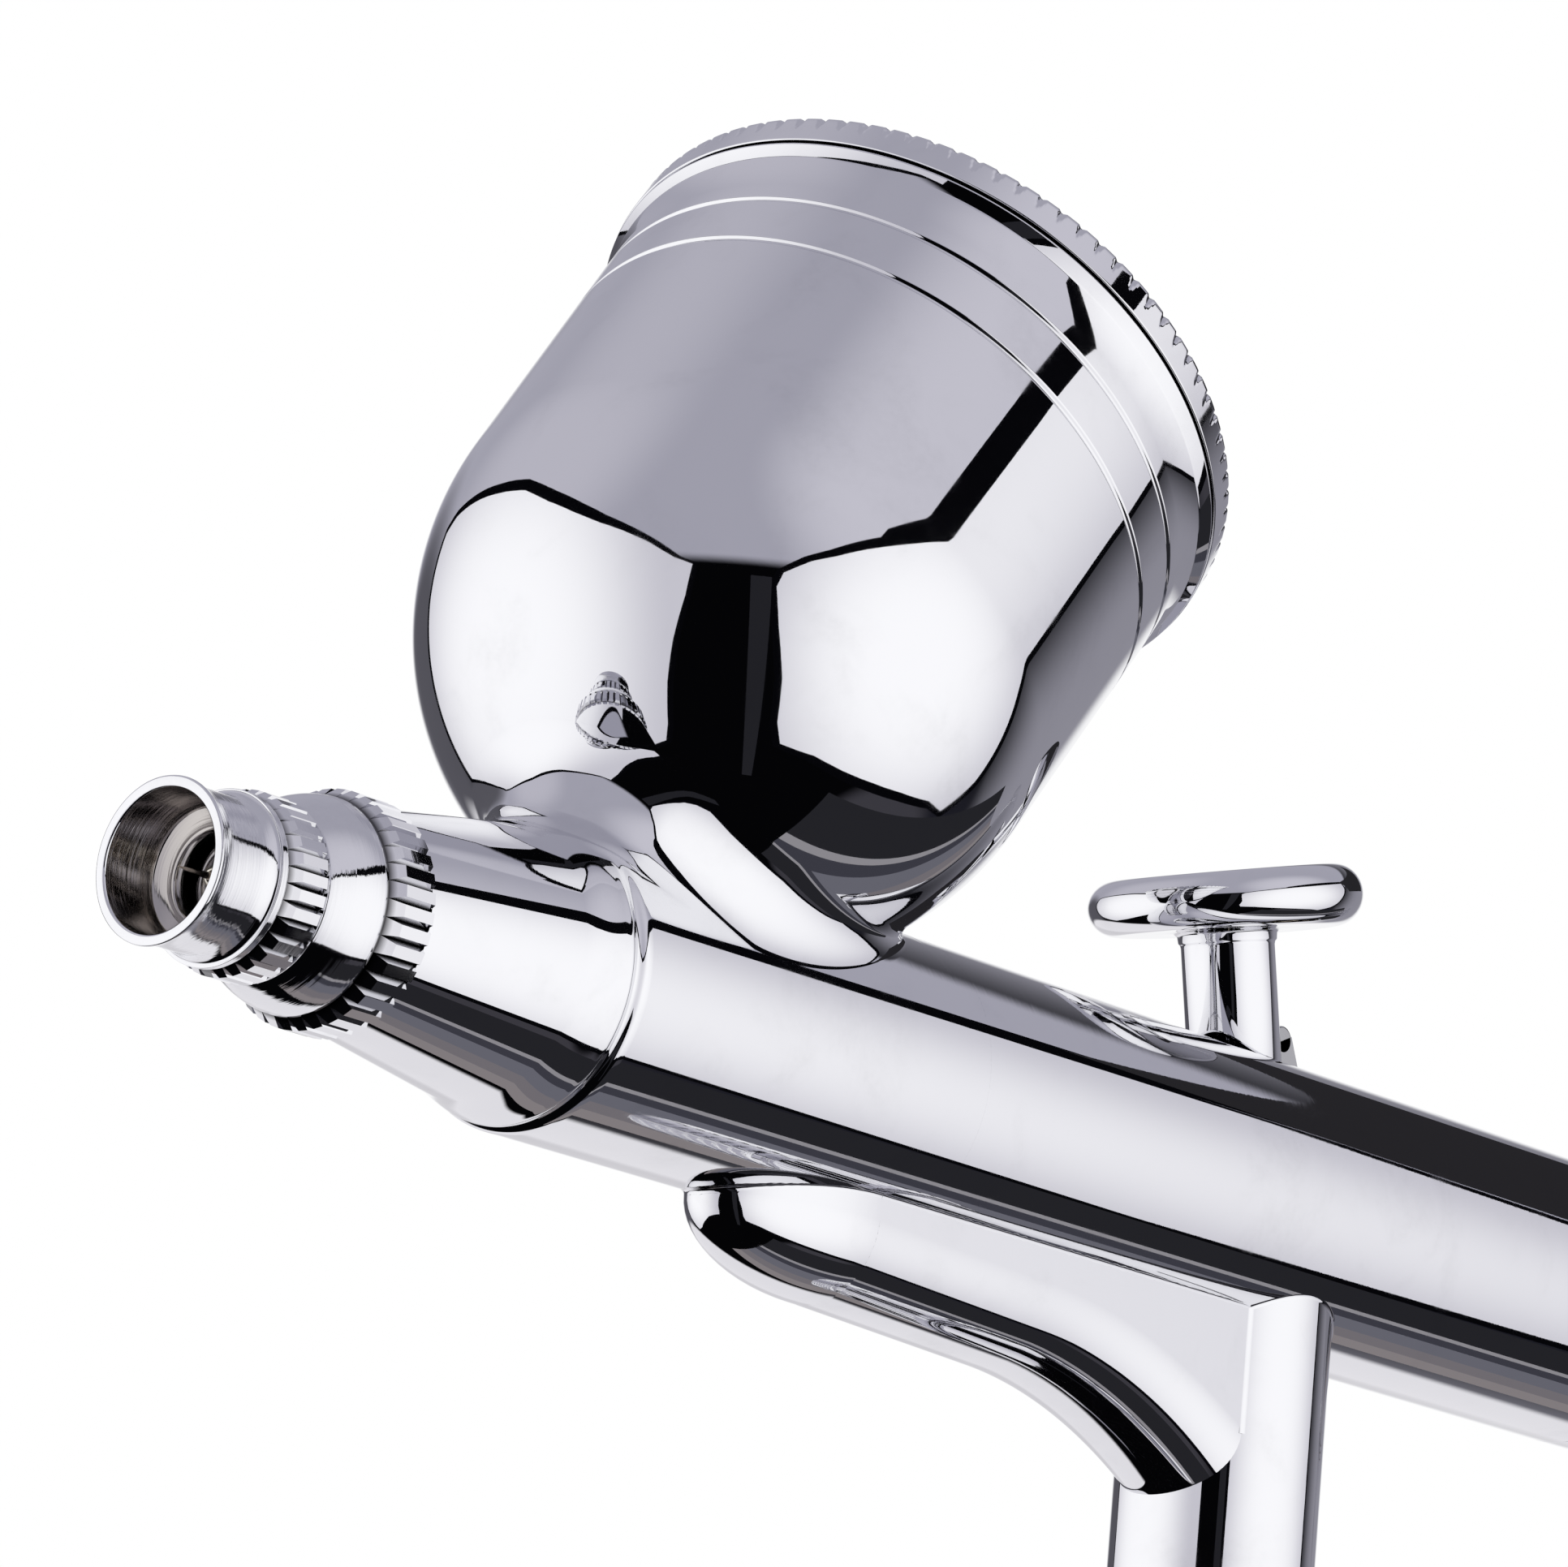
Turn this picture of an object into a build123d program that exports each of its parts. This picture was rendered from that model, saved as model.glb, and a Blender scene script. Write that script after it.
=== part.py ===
from build123d import *
from math import acos, asin, atan2, cos, pi, radians, sin, sqrt, tan
import os

# Gravity feed, double action airbrush. All sizes in millimetres.
# Every piece is modelled about the gun's own axes: X runs along the needle from nose to tail, Z is up the
# air valve, and both cross at the origin. place() then lifts the whole gun by axis_height, so the finished
# parts stand with the mouth of the air inlet at the origin.

# ---- running fits and gaps
running_gap = 0.05          # radial, a part that slides or turns in its bore
thread_gap = 0.10           # radial, male thread in female thread
seat_gap = 0.04             # along the axis, between faces that meet when screwed home

# ---- details shared by many pieces
edge_bevel = 0.3
knurl_sink = 0.2            # how far a knurled ring runs into the piece that carries it
knurl_land = 0.62           # share of a tooth's pitch that stays as its flat top
wire_sides = 6              # springs and sealing rings have a many sided section
seal_sides = 8
driver_slot_width = 0.6
driver_slot_depth = 0.8

# ---- gun body: barrel, web and valve guide
barrel_r = 6.0
barrel_bore_r = 4.2
body_front_x = -54.3
crease_x = -44.7
body_tail_x = 24.0
nose_r = 4.2
shoulder_x = -46.5
shoulder_r = 5.36
shoulder_top_x = -45.5
shoulder_top_r = 5.78
crease_depth = 0.16
crease_half_width = 0.28
spigot_r = 5.1
spigot_length = 7.0
socket_r = 3.4
socket_depth = 4.4
fluid_bore_r = 1.05
chamber_front_x = -6.5
guide_r = 4.24
guide_length = 24.8
guide_socket_r = 3.3
air_port_rise = 0.2
web_half_width = 3.2
web_nose_x = -33.57
web_nose_length = 7.0
web_front_z = -9.23
web_bend_x = -15.5
web_bend_z = -9.73
web_bend_r = 26.2
air_way_r = 0.8
air_way_z = -3.7
web_way_z = -7.2
web_way_x = -30.0
slot_front_x = -3.6
slot_rear_x = 10.2
slot_half_width = 2.1

# ---- paint cup and lid
cup_foot_x = -45.5
cup_tilt = 36.9
cup_bottom_s = 6.71
cup_r = 12.79
cup_wall = 0.8
cup_taper = 0.0143
cup_rim_s = 33.5
cup_rim_flare = 0.66
cup_groove_s = (28.05, 30.5)
cup_groove_depth = 0.15
cup_groove_half_width = 0.2
cup_flare_bow = 0.16
drain_length = 7.5
drain_width = 2.4
drain_x = -37.2
drain_top = 11.5
blend_r = 3.1
blend_tail_r = 0.3
blend_full_x = -38.0
blend_tail_gap = 0.67          # between the blend's tail and the rear edge of the cup's seat
blend_sink = 0.06
blend_overlap = 0.5
blend_steps = 8
lid_overhang = 0.05
lid_thickness = 1.75
lid_edge_round = 0.55
lid_lip_depth = 2.4
lid_lip_wall = 0.6
vent_r = 0.6

# ---- needle, fluid nozzle and caps
needle_r = 0.6
needle_tip_x = -63.2
needle_sharp_length = 1.65
needle_sharp_r = 0.15
needle_taper_end_x = -49.0
needle_tail_x = 62.0
nozzle_tip_x = -61.55
nozzle_hole_r = 0.18
nozzle_tip_wall = 0.18
nozzle_cone_end_x = -57.0
nozzle_barrel_r = 1.6
nozzle_flange_r = 2.1
nozzle_flange_thickness = 1.0
nozzle_shank_r = 1.2
nozzle_shank_length = 3.3
nozzle_bore_r = 0.9
nozzle_bore_step = 0.6
nozzle_neck_x = -60.4
nozzle_neck_r = 0.5
nozzle_seal_thickness = 0.3
cap_rim_x = -64.2
cap_rim_r = 3.12
cap_flare_length = 1.4
cap_flare_swell = 0.04
cap_tube_r = 2.96
cap_bore_r = 2.7
cap_collar_r = 3.3
cap_collar_x = -61.25
cap_collar_width = 0.35
cap_window_r = 1.67
cap_base_x = -61.6
cap_base_thickness = 0.65
cap_base_dish = 0.25
cap_ring_front_x = -60.85
cap_ring_tip_r = 3.47
cap_ring_root_r = 3.22
cap_ring_teeth = 32
cap_neck_depth = 0.15
cap_thread_r = 2.5
air_hole_r = 0.62
air_hole_length = 0.7
nozzle_cap_front_x = -58.9
nozzle_cap_front_r = 3.4
nozzle_cap_belly_r = 4.12
nozzle_cap_bow = (0.62, 0.36)    # share of the swell, share of the length
head_ring_front_x = -56.55
head_ring_tip_r = 4.5
head_ring_root_r = 4.22
head_ring_teeth = 38
head_thread_length = 3.4
air_chamber_r = 2.35
tooth_run = 0.8                 # length over which a tooth rises from the ring's front
tooth_bevel = 0.25
tooth_rear_bevel = 0.1

# ---- needle packing
packing_x = -27.0
packing_r = 2.0
packing_length = 2.0
packing_screw_length = 5.0

# ---- trigger and back lever
trigger_pivot_z = -3.9
trigger_ball_r = 1.6
trigger_bend_z = 1.42
trigger_lean = 12.2
trigger_stem_r = 1.95
trigger_height = 10.93
trigger_pad_r = 5.7
trigger_pad_thickness = 2.45
trigger_pad_dish = 0.35
trigger_collar_step = 0.15
trigger_collar_height = 0.45
trigger_stem_root = 0.4
trigger_blade_half_width = 1.5
trigger_neck_share = 0.65
trigger_neck_low = 0.9
trigger_neck_high = 2.4
trigger_blade_half_thickness = 1.5
needle_slot_half_width = 0.8
trigger_slot_low = 2.7
trigger_slot_high = 9.3
lever_pivot_x = 4.2
lever_pivot_z = -2.9
lever_knee_z = 1.2
lever_tip_z = 8.05
lever_thickness = 1.2
lever_foot_r = 0.75
lever_half_width = 1.9
lever_tongue_half_width = 0.9
lever_shoulder_z = 3.6
lever_fork_z = 2.0
lever_gap = 0.06

# ---- needle guide, spring, spring case and chuck nut
guide_nose_x = 4.9
guide_nose_r = 1.3
guide_flange_x = 6.9
guide_flange_r = 3.9
guide_flange_thickness = 1.2
guide_tube_r = 1.75
guide_tail_x = 46.0
collet_length = 6.0
collet_slit = 0.4
collet_taper_length = 1.0
needle_spring_r = 2.8
needle_spring_wire_r = 0.35
needle_spring_turns = 7
spring_case_front_x = 18.0
spring_case_bore_r = 3.55
spring_knob_r = 4.75
spring_knob_tooth = 0.35
spring_knob_teeth = 30
spring_knob_length = 3.4
spring_case_floor = 1.8
chuck_nut_x = 37.5
chuck_nut_length = 10.0
chuck_nut_r = 3.1
chuck_nut_tooth = 0.3
chuck_nut_teeth = 24
chuck_grip_share = 0.6
chuck_nut_step = 0.5

# ---- handle and preset screw
handle_taper_x = 36.0
handle_waist_x = 72.0
handle_waist_r = 3.75
handle_end_x = 82.0
handle_end_r = 4.0
handle_groove_x = (28.0, 30.0, 32.0)
handle_groove_depth = 0.25
handle_groove_half_width = 0.3
handle_end_wall = 6.0
handle_end_swell = 0.08
handle_end_bevel = 0.6
handle_tunnel_gap = 0.5
handle_room = 1.0
handle_nut_room_x = 50.0
handle_tunnel_x = 66.0
preset_r = 1.9
preset_tip_gap = 4.2
preset_tip_bevel = 0.5
preset_tooth = 0.3
preset_teeth = 26
preset_knob_x = 86.0
preset_knob_length = 5.0
preset_knob_r = 3.3
preset_ring_x = 79.5
preset_ring_wire_r = 0.35

# ---- air valve
plunger_head_r = 2.25
plunger_head_depth = 2.1
plunger_rim_drop = 0.4
plunger_stem_r = 1.05
plunger_travel = 1.5
plunger_spare = 0.7
plunger_tip_gap = 0.2
plunger_counterbore_r = 3.4
shelf_thickness = 0.6
seal_length = 1.2
seal_wire_r = 0.55
retainer_length = 1.2
valve_chamber_length = 2.9
casing_thread_r = 3.2
casing_seat_z = -19.5
casing_throat_r = 1.45
casing_bore_r = 2.5
casing_collar_r = 5.2
casing_collar_root_r = 4.85
casing_collar_length = 5.0
casing_collar_teeth = 36
casing_neck_r = 4.2
casing_neck_length = 1.2
inlet_thread_r = 4.86
inlet_thread_length = 8.0
gasket_r = 3.95
gasket_thickness = 0.5
poppet_r = 2.0
poppet_thickness = 1.2
poppet_hub_r = 1.3
poppet_hub_rise = 0.15
poppet_ring_wire_r = 0.4
poppet_stem_r = 0.8
poppet_stem_length = 9.5
valve_spring_r = 1.6
valve_spring_wire_r = 0.28
valve_spring_turns = 5
valve_screw_z = -28.5
valve_screw_length = 3.0
valve_screw_hole_r = 0.42
valve_screw_hole_centre = 1.68
valve_screw_slot_depth = 1.2

# ---- sizes that follow from the ones above
collar_top_z = -guide_length
inlet_top_z = collar_top_z - casing_collar_length - casing_neck_length
axis_height = -inlet_top_z + inlet_thread_length
plunger_top_z = trigger_pivot_z - plunger_rim_drop
shelf_z = plunger_top_z - plunger_head_depth - plunger_travel - plunger_spare
seal_z = shelf_z - shelf_thickness
retainer_z = seal_z - seal_length
chamber_z = retainer_z - retainer_length
casing_top_z = chamber_z - valve_chamber_length
cup_axis = Vector(sin(radians(cup_tilt)), 0, cos(radians(cup_tilt)))
cup_ball_s = cup_bottom_s + cup_r
cup_centre = Vector(cup_foot_x, 0, 0) + cup_axis * cup_ball_s
cup_frame = Plane(origin=(cup_foot_x, 0, 0), x_dir=(0, 1, 0), z_dir=cup_axis)
lean_dir = Vector(-sin(radians(trigger_lean)), 0, cos(radians(trigger_lean)))
socket_floor_x = body_front_x + socket_depth
spring_seat_x = body_tail_x + spigot_length + spring_knob_length - spring_case_floor
lever_tip = Vector(
    (trigger_stem_r + lever_gap + lever_thickness / 2) / cos(radians(trigger_lean))
    - (lever_tip_z - lever_thickness / 2 - trigger_bend_z) * tan(radians(trigger_lean)),
    0, lever_tip_z - lever_thickness / 2,
)
cone_line = [
    (body_front_x, nose_r), (shoulder_x, shoulder_r), (shoulder_top_x, shoulder_top_r),
    (crease_x, barrel_r),
]
flare_start_s = cup_groove_s[1] + 4 * cup_groove_half_width
cup_inner_r = cup_r - cup_wall
cup_rim_r = cup_r + cup_rim_flare
lid_r = cup_rim_r + lid_overhang
blend_tail_x = cup_centre.X + sqrt(cup_r ** 2 - (cup_centre.Z - barrel_r) ** 2) - blend_tail_gap


def place(shape):
    return Pos(0, 0, axis_height) * shape


def turned(profile):
    """Solid of revolution about Z from (radius, height) corners."""
    return revolve(Plane.XZ * make_face(Polyline(*profile, close=True)), Axis.Z)


def turned_x(profile):
    """Solid of revolution about X from (radius, x) corners."""
    return Plane.YZ * turned(profile)


def rod(radius, start, end):
    """Plain cylinder about Z between two heights."""
    return Pos(0, 0, (start + end) / 2) * Cylinder(radius, abs(end - start))


def rod_x(radius, start, end):
    return Plane.YZ * rod(radius, start, end)


def knurled(tip_r, root_r, teeth, low, high, run_low, run_high, end_drop):
    """Straight knurl about Z: flat topped teeth between V grooves, dropping towards each end over a run."""
    corners = []
    for i in range(teeth):
        for radius, share in ((tip_r, -knurl_land / 2), (tip_r, knurl_land / 2), (root_r, 0.5)):
            angle = 2 * pi * (i + share) / teeth
            corners.append((radius * cos(angle), radius * sin(angle)))
    star = Pos(0, 0, low) * extrude(make_face(Polyline(*corners, close=True)), high - low)
    levels = [
        (low, tip_r - end_drop), (low + run_low, tip_r), (high - run_high, tip_r), (high, tip_r - end_drop),
    ]
    sections = [
        Pos(0, 0, z) * RegularPolygon(radius, teeth, major_radius=False, rotation=180 / teeth)
        for z, radius in levels
    ]
    return star & loft(sections, ruled=True)


def coil(radius, wire_r, turns, low, high):
    """Open compression spring about Z, its wire ending inside the two seats."""
    length = high - low - 2 * wire_r
    path = Helix(pitch=length / turns, height=length, radius=radius)
    section = Plane(origin=path @ 0, z_dir=path % 0) * RegularPolygon(wire_r, wire_sides)
    return Pos(0, 0, low + wire_r) * sweep(section, path=path)


def seal_ring(radius, wire_r):
    """Round sealing ring about Z, by the radius of its middle line."""
    return revolve(Plane.XZ * Pos(radius, 0) * RegularPolygon(wire_r, seal_sides), Axis.Z)


def body_radius(x):
    """Outer radius of the body: a long nose cone with a rounded shoulder, then the straight barrel."""
    for (x0, r0), (x1, r1) in zip(cone_line, cone_line[1:]):
        if x <= x1:
            return r0 + (r1 - r0) * (x - x0) / (x1 - x0)
    return barrel_r


def cup_radius(s):
    """Outer radius of the cup's slightly flaring wall at a height along the cup's axis."""
    return cup_r + cup_taper * (s - cup_ball_s)


def cup_outer():
    """The cup as a full solid: ball bottom, tapered wall with two grooves, flared rim."""
    wall = [(cup_radius(cup_ball_s), cup_ball_s)]
    for s in cup_groove_s:
        wall.append((cup_radius(s), s - cup_groove_half_width))
        wall.append((cup_radius(s) - cup_groove_depth, s))
        wall.append((cup_radius(s), s + cup_groove_half_width))
    flare_r = cup_radius(flare_start_s)
    wall.append((flare_r, flare_start_s))
    flare_mid = (flare_r + cup_flare_bow * (cup_rim_r - flare_r), (flare_start_s + cup_rim_s) / 2)
    bottom = CenterArc((0, cup_ball_s), cup_r, -90, 90)
    side = Polyline(*wall)
    flare = ThreePointArc(wall[-1], flare_mid, (cup_rim_r, cup_rim_s))
    top = Polyline((cup_rim_r, cup_rim_s), (0, cup_rim_s), (0, cup_ball_s - cup_r))
    return cup_frame * revolve(Plane.XZ * make_face([bottom, side, flare, top]), Axis.Z)


def cup_hollow():
    """Inside of the cup, open at the rim."""
    bottom = CenterArc((0, cup_ball_s), cup_inner_r, -90, 90)
    mouth_r = cup_radius(cup_rim_s) - cup_wall
    beyond = cup_rim_s + cup_wall
    rest = Polyline((cup_inner_r, cup_ball_s), (mouth_r, cup_rim_s), (mouth_r, beyond),
                    (0, beyond), (0, cup_ball_s - cup_inner_r))
    return cup_frame * revolve(Plane.XZ * make_face([bottom, rest]), Axis.Z)


def blend_section(x, side):
    """Section of the hollow blend where a ball rests between the barrel and the cup's ball bottom.

    The ball touches both just under their skins. It keeps its full size around the front of the cup and
    shrinks towards the tail.
    """
    share = min(1, max(0, (x - blend_full_x) / (blend_tail_x - blend_full_x)))
    ball = blend_r + (blend_tail_r - blend_r) * share
    on_body = body_radius(x) - blend_sink
    on_cup = cup_r - blend_sink
    reach = on_body + ball
    gap = x - cup_centre.X
    cosine = (reach ** 2 + cup_centre.Z ** 2 + gap ** 2 - (on_cup + ball) ** 2) / (2 * reach * cup_centre.Z)
    angle = acos(min(1, cosine))
    centre = Vector(x, side * reach * sin(angle), reach * cos(angle))
    to_body = Vector(0, -centre.Y, -centre.Z).normalized()
    to_cup = (cup_centre - centre).normalized()
    middle = (to_body + to_cup).normalized()
    half_turn = acos(max(-1, min(1, to_body.dot(to_cup)))) / 2
    inside = centre + middle * (ball / cos(half_turn) + blend_overlap)
    start = centre + to_body * ball
    end = centre + to_cup * ball
    arc = ThreePointArc(start, centre + middle * ball, end)
    return make_face([arc, Line(end, inside), Line(inside, start)])


def cup_blend():
    """Concave skirt that runs from the top of the nose cone around both sides of the cup."""
    reach = body_radius(cup_foot_x - blend_r) - blend_sink + blend_r
    front_x = cup_centre.X - sqrt((cup_r - blend_sink + blend_r) ** 2 - (cup_centre.Z - reach) ** 2)
    stations = []
    for i in range(1, blend_steps + 1):
        share = sin(pi / 2 * i / blend_steps) ** 2
        stations.append(front_x + (blend_tail_x - front_x) * share)
    left = [blend_section(x, -1) for x in reversed(stations)]
    right = [blend_section(x, 1) for x in stations]
    return loft(left + [blend_section(front_x, -1)] + right)


def web():
    """Air passage under the barrel: flat sides, round lower edge bending into the guide, long round nose."""
    fall = atan2(web_front_z - web_bend_z, web_bend_x - web_nose_x - web_nose_length)
    start = Vector(web_nose_x + web_nose_length, 0, web_front_z + web_half_width)
    bend = Vector(web_bend_x, 0, web_bend_z + web_half_width)
    bend_r = web_bend_r + web_half_width
    hub = bend - Vector(sin(fall), 0, cos(fall)) * bend_r
    guide_turn = asin(-hub.X / bend_r)
    half_way = (fall + guide_turn) / 2
    end = hub + Vector(sin(guide_turn), 0, cos(guide_turn)) * bend_r
    path = Wire([Line(start, bend),
                 ThreePointArc(bend, hub + Vector(sin(half_way), 0, cos(half_way)) * bend_r, end)])
    frame = Plane(origin=start, x_dir=(0, 1, 0), z_dir=bend - start)
    top = -barrel_r / 2
    height = top - start.Z
    half_disc = make_face([
        CenterArc((0, 0), web_half_width, 180, 180),
        Line((web_half_width, 0), (-web_half_width, 0)),
    ])
    belly = sweep(frame * half_disc, path=path)
    plan = Plane(origin=start, x_dir=frame.z_dir, z_dir=frame.y_dir)
    nose_edge = EllipticalCenterArc((0, 0), web_nose_length, web_half_width, start_angle=90, arc_size=90)
    quarter = make_face([nose_edge, Polyline((-web_nose_length, 0), (0, 0), (0, web_half_width))])
    column = extrude(plan * (quarter + mirror(quarter, Plane.XZ)), height)
    nose = revolve(plan * quarter, Axis(start, frame.z_dir)) + column
    upper = start + frame.y_dir * height
    side = make_face([*path.edges(), Polyline(end, (end.X, 0, top), (upper.X, 0, upper.Z), start)])
    return belly + nose + extrude(side, web_half_width, dir=(0, 1, 0), both=True)


def drilled(radius, start, end):
    """Round hole between two (x, z) points of the gun's middle plane."""
    run = Vector(end[0] - start[0], 0, end[1] - start[1])
    hole = rod(radius, -radius / 2, run.length + radius / 2)
    return Plane(origin=(start[0], 0, start[1]), z_dir=run) * hole


def paint_drain():
    """Slot through the cup's bottom down to the needle's channel."""
    slot = SlotOverall(drain_length, drain_width)
    return Pos(drain_x, 0, 0) * extrude(slot, drain_top)


def air_ways():
    """Drilled way of the air: out of the valve, along the web, up and forward to the nozzle's socket."""
    port_z = chamber_z - air_way_r - air_port_rise
    corner = (-guide_socket_r - (web_way_z - port_z), web_way_z)
    port = (-guide_socket_r + air_way_r, port_z - air_way_r)
    riser_low = (web_way_x, web_way_z)
    riser_high = (web_way_x, air_way_z)
    return [
        drilled(air_way_r, port, corner),
        drilled(air_way_r, corner, riser_low),
        drilled(air_way_r, riser_low, riser_high),
        drilled(air_way_r, riser_high, (socket_floor_x, air_way_z)),
    ]


def gun_body():
    shell = turned_x([
        (0, body_front_x), *[(r, x) for x, r in cone_line[:-1]],
        (body_radius(crease_x - crease_half_width), crease_x - crease_half_width),
        (barrel_r - crease_depth, crease_x), (barrel_r, crease_x + crease_half_width),
        (barrel_r, body_tail_x), (spigot_r, body_tail_x),
        (spigot_r, body_tail_x + spigot_length), (0, body_tail_x + spigot_length),
    ])
    shell += cup_blend()
    shell += web()
    shell += rod(guide_r, -guide_length, -barrel_r / 2)
    shell -= cup_outer()
    shell -= rod_x(socket_r, body_front_x, socket_floor_x)
    shell -= rod_x(nozzle_shank_r + thread_gap, socket_floor_x, socket_floor_x + nozzle_shank_length)
    shell -= rod_x(fluid_bore_r, socket_floor_x, packing_x)
    shell -= rod_x(packing_r + thread_gap, packing_x, chamber_front_x)
    shell -= rod_x(barrel_bore_r, chamber_front_x, body_tail_x + spigot_length)
    shell -= rod(plunger_counterbore_r, plunger_top_z - plunger_rim_drop, 0)
    shell -= rod(plunger_head_r + running_gap, shelf_z, plunger_top_z)
    shell -= rod(plunger_stem_r + running_gap, seal_z, shelf_z)
    shell -= rod(plunger_head_r + thread_gap, chamber_z, seal_z)
    shell -= rod(guide_socket_r, -guide_length, chamber_z)
    slot = SlotOverall(slot_rear_x - slot_front_x, 2 * slot_half_width)
    shell -= Pos((slot_rear_x + slot_front_x) / 2, 0, 0) * extrude(slot, 2 * barrel_r)
    for way in air_ways():
        shell -= way
    return shell - paint_drain()


def paint_cup():
    return cup_outer() - cup_hollow() - paint_drain()


def cup_lid():
    """Turned lid that rests on the rim, with a lip inside the mouth and a vent hole."""
    low = cup_rim_s + seat_gap
    high = low + lid_thickness
    lip_r = cup_radius(cup_rim_s - lid_lip_depth) - cup_wall - running_gap
    lid = turned([
        (0, high), (lid_r, high), (lid_r, low), (lip_r, low), (lip_r, low - lid_lip_depth),
        (lip_r - lid_lip_wall, low - lid_lip_depth), (lip_r - lid_lip_wall, low + lid_lip_wall),
        (0, low + lid_lip_wall),
    ])
    lid = fillet(lid.edges().group_by(Axis.Z)[-1], lid_edge_round)
    return cup_frame * (lid - rod(vent_r, low, high))


def needle():
    return turned_x([
        (0, needle_tip_x), (needle_sharp_r, needle_tip_x + needle_sharp_length),
        (needle_r, needle_taper_end_x), (needle_r, needle_tail_x - needle_r / 2),
        (needle_r / 2, needle_tail_x), (0, needle_tail_x),
    ])


def fluid_nozzle():
    flange_rear = socket_floor_x - nozzle_seal_thickness
    flange_front = flange_rear - nozzle_flange_thickness
    tail = flange_rear + nozzle_shank_length
    tip_r = nozzle_hole_r + nozzle_tip_wall
    return turned_x([
        (nozzle_hole_r, nozzle_tip_x), (tip_r, nozzle_tip_x), (nozzle_neck_r, nozzle_neck_x),
        (nozzle_barrel_r, nozzle_cone_end_x), (nozzle_barrel_r, flange_front),
        (nozzle_flange_r, flange_front), (nozzle_flange_r, flange_rear), (nozzle_shank_r, flange_rear),
        (nozzle_shank_r, tail), (nozzle_bore_r, tail), (nozzle_bore_r, nozzle_cone_end_x - nozzle_bore_step),
    ])


def nozzle_seal():
    front = socket_floor_x - nozzle_seal_thickness
    hole = rod_x(nozzle_shank_r + running_gap, front, socket_floor_x)
    return rod_x(nozzle_flange_r, front, socket_floor_x) - hole


def needle_cap():
    """Open tube that shields the needle's point, on a knurled ring that screws over the nozzle cap."""
    rear = nozzle_cap_front_x - seat_gap
    base_rear = cap_base_x + cap_base_thickness
    collar_rear = cap_collar_x + cap_collar_width
    socket = cap_thread_r + thread_gap
    neck_r = cap_ring_root_r - cap_neck_depth
    rim = (cap_rim_r, cap_rim_x)
    flare_mid = (cap_tube_r + cap_flare_swell, cap_rim_x + cap_flare_length / 2)
    flare_end = (cap_tube_r, cap_rim_x + cap_flare_length)
    throat = (cap_bore_r, cap_base_x - 2 * cap_base_dish)
    window = (cap_window_r, cap_base_x)
    outline = [
        ThreePointArc(rim, flare_mid, flare_end),
        Polyline(
            flare_end, (cap_tube_r, cap_collar_x), (cap_collar_r, cap_collar_x), (cap_collar_r, collar_rear),
            (neck_r, collar_rear), (neck_r, rear), (socket, rear), (socket, base_rear),
            (cap_window_r, base_rear), window,
        ),
        ThreePointArc(window, ((cap_window_r + cap_bore_r) / 2, cap_base_x - cap_base_dish / 2), throat),
        Polyline(throat, (cap_bore_r, cap_rim_x), rim),
    ]
    cap = Plane.YZ * revolve(Plane.XZ * make_face(outline), Axis.Z)
    ring = knurled(cap_ring_tip_r, cap_ring_root_r, cap_ring_teeth, cap_ring_front_x, rear,
                   tooth_run, tooth_rear_bevel, tooth_bevel)
    return cap + (Plane.YZ * ring - rod_x(neck_r - knurl_sink, cap_ring_front_x, rear))


def nozzle_cap():
    """Air cap: threaded nose, bulged barrel, knurled ring and threaded shank around the air chamber."""
    ring_rear = body_front_x - seat_gap
    shank_end = body_front_x + head_thread_length
    shank_r = socket_r - thread_gap
    ring_inner_r = head_ring_root_r - knurl_sink
    nose_x = cap_base_x + cap_base_thickness + seat_gap
    swell, along = nozzle_cap_bow
    front = (nozzle_cap_front_r, nozzle_cap_front_x)
    belly = (nozzle_cap_belly_r, head_ring_front_x)
    bow = (front[0] + swell * (belly[0] - front[0]), front[1] + along * (belly[1] - front[1]))
    chamber_front = (air_chamber_r, nozzle_cone_end_x - nozzle_bore_step)
    outline = [
        Polyline((air_hole_r, nose_x), (cap_thread_r, nose_x), (cap_thread_r, nozzle_cap_front_x), front),
        ThreePointArc(front, bow, belly),
        Polyline(belly, (ring_inner_r, head_ring_front_x + tooth_rear_bevel), (ring_inner_r, ring_rear),
                 (shank_r, ring_rear), (shank_r, shank_end), (air_chamber_r, shank_end), chamber_front,
                 (air_hole_r, nose_x + air_hole_length), (air_hole_r, nose_x)),
    ]
    cap = Plane.YZ * revolve(Plane.XZ * make_face(outline), Axis.Z)
    ring = knurled(head_ring_tip_r, head_ring_root_r, head_ring_teeth, head_ring_front_x, ring_rear,
                   tooth_run, tooth_rear_bevel, tooth_bevel)
    return cap + (Plane.YZ * ring - rod_x(shank_r - knurl_sink, head_ring_front_x, ring_rear))


def needle_packing():
    end = packing_x + packing_length
    return rod_x(packing_r, packing_x, end) - rod_x(needle_r + running_gap, packing_x, end)


def packing_screw():
    start = packing_x + packing_length
    end = start + packing_screw_length
    screw = rod_x(packing_r, start, end) - rod_x(needle_r + 3 * running_gap, start, end)
    return screw - Pos(end, 0, 0) * Box(2 * driver_slot_depth, 3 * packing_r, driver_slot_width)


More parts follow.
